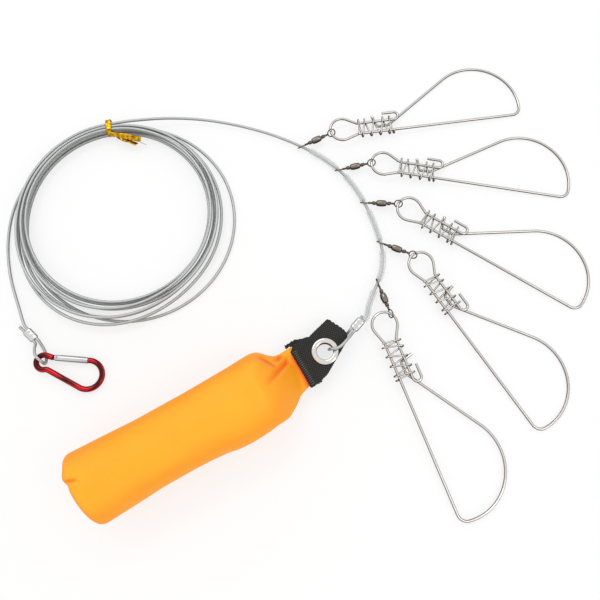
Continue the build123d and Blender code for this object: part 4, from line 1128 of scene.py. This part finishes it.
    def binding(self, name: str, hinge: Vector, along: Vector, across: Vector) -> None:
        """Thin wire wound across both legs of the neck, with a loop beside each leg."""
        over = along.cross(across)
        level = self.wire / 2 + self.bind_gap + self.bind_wire / 2
        near, far = -self.bind_reach, self.spacing + self.bind_reach
        place = -self.leg - self.neck
        points = []
        for pitch in self.bind_pitches:
            for first, last, w in ((near, far, level), (far, near, -level)):
                side = math.copysign(1, last - first)
                points += [(place, first, w), (place + 0.4 * pitch, last, w)]
                for t in np.linspace(0, math.pi, 9)[1:-1]:
                    ahead = place + pitch * (0.4 + 0.1 * t / math.pi)
                    points.append((ahead, last + side * level * math.sin(t), w * math.cos(t)))
                place += pitch / 2
        strand = Strand([hinge + (along * p + across * q + over * w) * MM for p, q, w in points])
        wound = self.sweep.wire(name + "_wound_wire", [strand.rounded(self.bind_wire / 2 * MM)],
                                self.bind_wire * MM, BINDING, 10)
        settle(wound, name, "binding_wire", name + "_binding")


class Carabiner:
    """Red carabiner with a bright gate; its turned and bent solids keep their shape."""

    def build(self) -> None:
        """Give each solid its finish."""
        for node, finish in (("carabiner_body", RED), ("carabiner_gate", BRIGHT), ("carabiner_pin", STEEL),
                             ("carabiner_gate_spring", STEEL)):
            dress(node, finish)


@dataclass
class FloatBag:
    """Cloth float over a foam core, with its sewn strap and grommet."""

    mouth: tuple = (0.6, -53.0)
    turned: float = 30.2
    radius: float = 25.0
    length: float = 164.5
    neck: float = 33.0
    mouth_t: float = 2.4
    strap_z: float = 9.0
    flat: float = 0.5
    bore: float = 5.9
    around: int = 72
    spacing: float = 2.6
    sewn_rows: int = 4
    sewn_in: float = 4.6
    end_r: float = 5.0
    end_gap: float = 4.2
    end_dish: float = 2.6
    swell_start: float = 1.2
    swell_cap: float = 2.0
    sag_cap: float = 0.6
    cloth_steps: int = 20
    cloth_settings: tuple = (
        ("use_pressure", True), ("uniform_pressure_force", 4.0), ("shrink_min", -0.035), ("mass", 0.15),
        ("quality", 6), ("bending_stiffness", 0.6))
    far_start: float = 146.0
    far_reach: float = 12.0
    far_folds: tuple = ((5.6, 2.2, 0.8), (11.5, 4.0, -1.2))
    far_slant: tuple = (8.0, 28.0, 1.6)
    core_gap: float = 5.0
    upper_edge: tuple = (
        (0, 17.8), (4, 17.6), (9, 17.2), (12.5, 17.6), (15, 19.6), (18, 22.8), (21, 25.0), (24, 25.7),
        (29, 25.4), (40, 25.0), (74, 24.4), (110, 24.8), (130, 26.2), (164, 28.2))
    lower_edge: tuple = (
        (0, 12.4), (6, 14.6), (9, 15.8), (12, 18.3), (15, 20.9), (18, 22.4), (21, 24.7), (24, 25.9),
        (30, 26.8), (48, 28.0), (60, 27.2), (66, 26.0), (74, 25.4), (90, 24.5), (110, 24.0), (154, 25.0))
    creases: tuple = (
        ((-0.5, 12.4), (-27.0, -2.6), 3.4, 1.5), ((-21.5, 18.6), (-13.0, 6.0), 3.4, 1.7),
        ((-7.0, 15.4), (-13.5, 11.0), 2.2, 1.6), ((-161.0, 8.6), (-153.0, 5.2), 1.6, 1.1))
    lobes: tuple = (((-24.0, 14.0), 6.5, 2.2), ((-10.5, 3.6), 5.0, 1.2), ((-17.0, -4.0), 8.0, 0.8))

    def __post_init__(self) -> None:
        """Work out the float's own axes."""
        self.origin = spot(*self.mouth)
        self.along, self.across = heading(self.turned), heading(self.turned + 90)

    def place(self, f: float, g: float, z: float) -> Vector:
        """A point so far along, across and above, in millimetres from the mouth."""
        return self.origin + (self.along * f + self.across * g + UP * z) * MM

    def outline(self, back: float) -> tuple[float, float]:
        """Half height and middle height of the cover so far behind the mouth."""
        share = min(max(back, 0.0) / self.neck, 1)
        drawn = share * share * (3 - 2 * share)
        pressed = 1 + min(back, 0.0) / self.sewn_in * 0.7
        half_h = self.mouth_t / 2 * pressed + drawn * (self.radius - self.mouth_t / 2)
        return half_h, self.strap_z + drawn * (self.radius - self.flat - self.strap_z)

    def cover_rings(self) -> np.ndarray:
        """Rings of the cover's points, from the mouth to the middle of the far end."""
        end_r = self.end_r
        corner = self.length - self.end_gap - end_r
        stations = [(-self.sewn_in, 0.0), (-self.sewn_in / 2, 0.0)]
        stations += [(back, 0.0) for back in np.arange(0, corner - 1, self.spacing)]
        stations += [(corner + end_r * math.sin(t), end_r * (1 - math.cos(t)))
                     for t in np.radians((0, 22, 45, 67, 90))]
        face = self.radius - end_r
        stations += [(corner + end_r - self.end_dish * (1 - r / face), end_r + face - r)
                     for r in np.linspace(face, 0.8, 8)[1:]]
        rings = []
        for back, inset in stations:
            half_h, height = self.outline(back)
            share = 1 - inset / self.radius
            shrink = self.swell_start * min(1, max(back, 0.0) / self.neck)
            ring = []
            for t in np.linspace(0, 2 * math.pi, self.around, endpoint=False):
                edge = self.upper_edge if math.cos(t) > 0 else self.lower_edge
                half_w = np.interp(back, *zip(*edge))
                g = math.cos(t) * max(half_w * share - shrink, 0.4)
                z = math.sin(t) * max(half_h * share - shrink, 0.4)
                ring.append(self.place(-back, g, height + z))
            rings.append(ring)
        return np.array(rings)

    def swell(self, cover: Piece) -> None:
        """Blow the cover up as cloth held at its sewn mouth, and keep the result in the mesh."""
        mesh = cover.data
        rest = np.array([vertex.co for vertex in mesh.vertices])
        outward = np.array([vertex.normal for vertex in mesh.vertices])
        held = cover.vertex_groups.new(name="sewn_mouth")
        for index in range(len(rest)):
            row = index // self.around
            held.add([index], 1.0 if row < self.sewn_rows else 0.0, "REPLACE")
        cloth = cover.modifiers.new("cloth", "CLOTH")
        settings = cloth.settings
        settings.vertex_group_mass = held.name
        settings.effector_weights.gravity = 0
        for name, value in self.cloth_settings:
            setattr(settings, name, value)
        scene = bpy.context.scene
        for step in range(1, self.cloth_steps + 1):
            scene.frame_set(step)
        graph = bpy.context.evaluated_depsgraph_get()
        moved = np.array([vertex.co for vertex in cover.evaluated_get(graph).data.vertices])
        scene.frame_set(1)
        cover.modifiers.remove(cloth)
        cover.vertex_groups.clear()
        shift = moved - rest
        size = np.linalg.norm(shift, axis=1, keepdims=True)
        shift *= np.minimum(1, self.swell_cap * MM / np.maximum(size, 1e-9))
        push = np.sum(shift * outward, axis=1, keepdims=True)
        shift += outward * (np.maximum(push, -self.sag_cap * MM) - push)
        self.set_points(mesh, rest + shift)

    def set_points(self, mesh: bpy.types.Mesh, points: np.ndarray) -> None:
        """Write vertex places back to a mesh."""
        mesh.vertices.foreach_set("co", points.astype(np.float32).ravel())
        mesh.update()

    def fold(self, mesh: bpy.types.Mesh) -> None:
        """Press in the folds by the strap, the tuck in the far end and the flat underside, and paint red
        shade into the creases and along the strap's edge.
        """
        points = np.array([vertex.co for vertex in mesh.vertices])
        origin, along, across = (np.array(v) for v in (self.origin, self.along, self.across))
        f, g = (points - origin) @ along / MM, (points - origin) @ across / MM
        top = np.clip((points[:, 2] / MM - 10) / 4, 0, 1)
        # Painted shade: deep red along the strap's edge and in the creases, kept in the fold attribute.
        painted_crease_shade = np.exp(-(np.minimum(f - 0.4, 0) / 2.8) ** 2) * np.clip((14 - g) / 4, 0, 1)
        for (f0, g0), reach, height in self.lobes:
            points[:, 2] += height * np.exp(-((f - f0) ** 2 + (g - g0) ** 2) / reach**2) * top * MM
        for (f0, g0), (f1, g1), depth, width in self.creases:
            span = np.array((f1 - f0, g1 - g0))
            share = np.clip(((f - f0) * span[0] + (g - g0) * span[1]) / (span @ span), 0, 1)
            away = np.hypot(f - f0 - share * span[0], g - g0 - share * span[1])
            fade = np.sin(math.pi * np.clip(0.2 + 0.8 * share, 0, 1))
            bed = np.exp(-(away / width) ** 2) * fade
            lips = np.exp(-((away - 2.4 * width) / (1.2 * width)) ** 2) * fade
            points[:, 2] -= depth * (bed - 0.3 * lips) * top * MM
            painted_crease_shade = np.maximum(painted_crease_shade, 0.75 * np.exp(-(away / width * 1.3) ** 2) * fade * top)
        far = np.clip((-f - self.far_start) / self.far_reach, 0, 1)
        start, reach, depth = self.far_slant
        pull = depth * np.clip((start - g) / reach, 0, 1)
        for middle, width, depth in self.far_folds:
            pull += depth * np.exp(-((g - middle) / width) ** 2)
        points += np.outer(pull * far * MM, along)
        points[:, 2] = np.maximum(points[:, 2], 0.25 * MM)
        self.set_points(mesh, points)
        mesh.attributes.new("fold", "FLOAT", "POINT").data.foreach_set("value", painted_crease_shade.astype(np.float32))

    def refined(self, cover: Piece) -> Piece:
        """The cover after one more subdivision."""
        smooth = cover.modifiers.new("smooth", "SUBSURF")
        smooth.levels = smooth.render_levels = 1
        return plain(cover, "cloth_cover")

    def build(self, sweep: SweepTree) -> None:
        """Make the cover, core, strap and grommet."""
        rings = self.cover_rings()
        cover = loft("cloth_cover", rings, CLOTH)
        self.swell(cover)
        marks = cover.data.attributes.new("cloth", "FLOAT_VECTOR", "POINT")
        girth = 2 * math.pi * self.radius / self.around
        rows = [(girth * (index % self.around) * MM, self.spacing * (index // self.around) * MM, 0.0)
                for index in range(len(cover.data.vertices))]
        marks.data.foreach_set("vector", np.array(rows, np.float32).ravel())
        cover = self.refined(cover)
        self.fold(cover.data)
        cover = self.refined(cover)
        mark_facing_for_painted_light(cover.data)
        settle(cover, "float", "orange_cloth", "float_cover")
        self.core()
        Strap(self, sweep).build()
        self.grommet()
        dress("grommet_washer", STEEL)

    def grommet(self) -> None:
        """Rolled eyelet: a domed flange on the strap and a barrel down through its hole."""
        low, high = (np.array(corner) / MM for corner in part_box("grommet_eyelet"))
        centre = Vector((low + high) / 2 * MM)
        outer, top, bottom = (high[0] - low[0]) / 2, high[2], low[2]
        bore, wall = self.bore, 0.6
        crown = [(bore + (outer - bore) * (0.5 - 0.5 * math.cos(t)), top - 1.0 + math.sin(t) ** 0.6)
                 for t in np.linspace(0.02, math.pi - 0.02, 15)]
        section = [(bore, bottom), *crown, (outer - 0.3, top - 1.0), (bore + wall + 0.3, top - 1.0),
                   (bore + wall, top - 1.3), (bore + wall, bottom)]
        rings = [[Vector((centre.x, centre.y, 0)) + (Vector((math.cos(t), math.sin(t), 0)) * r + UP * z) * MM
                  for r, z in section] for t in np.linspace(0, 2 * math.pi, 64, endpoint=False)]
        eyelet = loft("rolled_eyelet", np.array(rings), NICKEL, True)
        settle(eyelet, "float", "bright_nickel", "grommet_eyelet")

    def core(self) -> None:
        """Foam cylinder inside the cover."""
        radius = self.radius - self.core_gap
        front, back = self.neck + 6, self.length - 12
        profile = [(front, radius - 4), (front + 0.6, radius - 1.5), (front + 3, radius),
                   (back - 4, radius), (back - 1, radius - 1.5), (back, radius - 4)]
        core = lathe("foam_core", profile, self.place(0, 0, self.radius - self.flat), -self.along, FOAM, 48)
        settle(core, "float", "foam", "float_foam_core")


@dataclass
class Strap:
    """Black webbing folded over the float's mouth: two layers, sewn edge and frayed ends."""

    bag: FloatBag
    sweep: SweepTree
    outline: tuple = (
        (0.3, -13.4), (8.5, -13.0), (15.0, -11.2), (38.0, 1.8), (40.8, 5.5), (40.3, 9.8), (34.5, 21.8),
        (16.5, 17.2), (10.0, 19.2), (4.0, 17.6), (0.3, 14.2))
    under_corner: tuple = ((7.4, 20.8), (-1.0, 20.6), (-1.3, 18.9), (3.5, 18.6), (1.2, 14.2))
    layer_t: float = 1.3
    layer_mid: float = 1.1
    grommet: tuple = (21.1, 2.8)
    hole_r: float = 6.6
    stitch_pitch: float = 1.5
    edge_r: float = 0.3
    edge_step: float = 0.7
    thread: float = 0.75
    frayed: int = 14

    def layer(self, name: str, height: float, outline: tuple) -> Piece:
        """One layer of webbing with rounded edges and the grommet's hole.

        Args:
            name: name of the layer.
            height: height of its middle.
            outline: its corners as distances along and across.

        Returns:
            The layer as a plain mesh.
        """
        curve = bpy.data.curves.new(name, "CURVE")
        curve.dimensions = "2D"
        curve.fill_mode = "BOTH"
        curve.bevel_depth = self.edge_r * MM
        curve.bevel_resolution = 2
        curve.extrude = (self.layer_t / 2 - self.edge_r) * MM
        edge = []
        count = len(outline)
        for index, (f, g) in enumerate(outline):
            nf, ng = outline[(index + 1) % count]
            steps = max(2, int(math.hypot(nf - f, ng - g) / self.edge_step))
            for step in range(steps):
                share = step / steps
                pf, pg = f + (nf - f) * share, g + (ng - g) * share
                wave = 0.2 * math.sin(pf * 2.1 + pg * 3.3) + 0.3 * noise.noise(Vector((pf, pg, height)))
                edge.append((pf + wave, pg + wave))
        hole = [(self.grommet[0] + self.hole_r * math.cos(t), self.grommet[1] + self.hole_r * math.sin(t))
                for t in np.linspace(0, 2 * math.pi, 48, endpoint=False)]
        for loop in (edge, hole):
            spline = curve.splines.new("POLY")
            spline.points.add(len(loop) - 1)
            for knot, (f, g) in zip(spline.points, loop):
                knot.co = (f * MM, g * MM, 0, 1)
            spline.use_cyclic_u = True
        curve.materials.append(WEBBING.material())
        source = bpy.data.objects.new(name, curve)
        bpy.context.scene.collection.objects.link(source)
        made = plain(source, name)
        shell = bmesh.new()
        shell.from_mesh(made.data)
        bmesh.ops.remove_doubles(shell, verts=shell.verts, dist=0.01 * MM)
        bmesh.ops.recalc_face_normals(shell, faces=shell.faces)
        shell.to_mesh(made.data)
        shell.free()
        marks = made.data.attributes.new("cloth", "FLOAT_VECTOR", "POINT")
        for vertex, mark in zip(made.data.vertices, marks.data):
            f, g, z = vertex.co / MM
            mark.vector = vertex.co
            vertex.co = self.bag.place(f, g, height + z)
        made.data.update()
        mark_facing_for_painted_light(made.data)
        return made

    def build(self) -> None:
        """Both layers, the stitches and the frayed threads as one piece."""
        middle = self.bag.strap_z
        layers = [self.layer("strap_top", middle + self.layer_mid, self.outline),
                  self.layer("strap_bottom", middle - self.layer_mid, self.outline[:-2] + self.under_corner)]
        top = middle + self.layer_mid + self.layer_t / 2
        threads = []
        for g in np.arange(-12.6, 13.8, self.stitch_pitch):
            start, end = self.bag.place(0.9, g, top - 0.15), self.bag.place(4.4, g + 0.5, top - 0.15)
            crown = (start + end) / 2 + UP * 0.6 * MM
            threads.append(Strand([start, start.lerp(crown, 0.6), crown, end.lerp(crown, 0.6), end]))
        for index in range(self.frayed):
            g = -13.3 + 0.5 * noise.noise(Vector((index, 0.3, 0)))
            f = 0.6 + 0.62 * index
            root = self.bag.place(f, g, middle + (index % 3 - 1) * 0.8)
            drift, reach = (noise.noise(Vector((index, row, 0))) for row in (3.7, 9.1))
            tip = self.bag.place(f + 0.8 * drift, g - 0.9 - 0.8 * abs(reach), middle + (index % 3 - 1) * 0.9)
            threads.append(Strand([root, (root + tip) / 2 + self.bag.along * 0.15 * MM, tip]))
        sewn = self.sweep.wire("strap_threads", threads, self.thread * MM, THREAD, 6)
        settle(joined("webbing_strap", layers + [sewn]), "float", "black_webbing", "float_strap")


# Tilt of each swivel's eye on the cable and of its eye for the snap, then the snap's heading, in degrees.
STATIONS = (
    (25.0, 40.0, 8.9), (25.0, 40.0, -8.4), (25.0, 40.0, -30.8), (25.0, 40.0, -55.6), (6.0, 20.0, -68.6))


def main() -> None:
    """Build everything in order."""
    logging.basicConfig(level=logging.INFO, format="%(name)s: %(message)s")
    Studio().build()
    sweep = SweepTree()
    Cable(sweep).build()
    for number, (cable_tilt, snap_tilt, snap_heading) in enumerate(STATIONS, 1):
        Station(sweep, number, cable_tilt, snap_tilt, snap_heading).build()
    Carabiner().build()
    FloatBag().build(sweep)


if __name__ == "__main__":
    main()
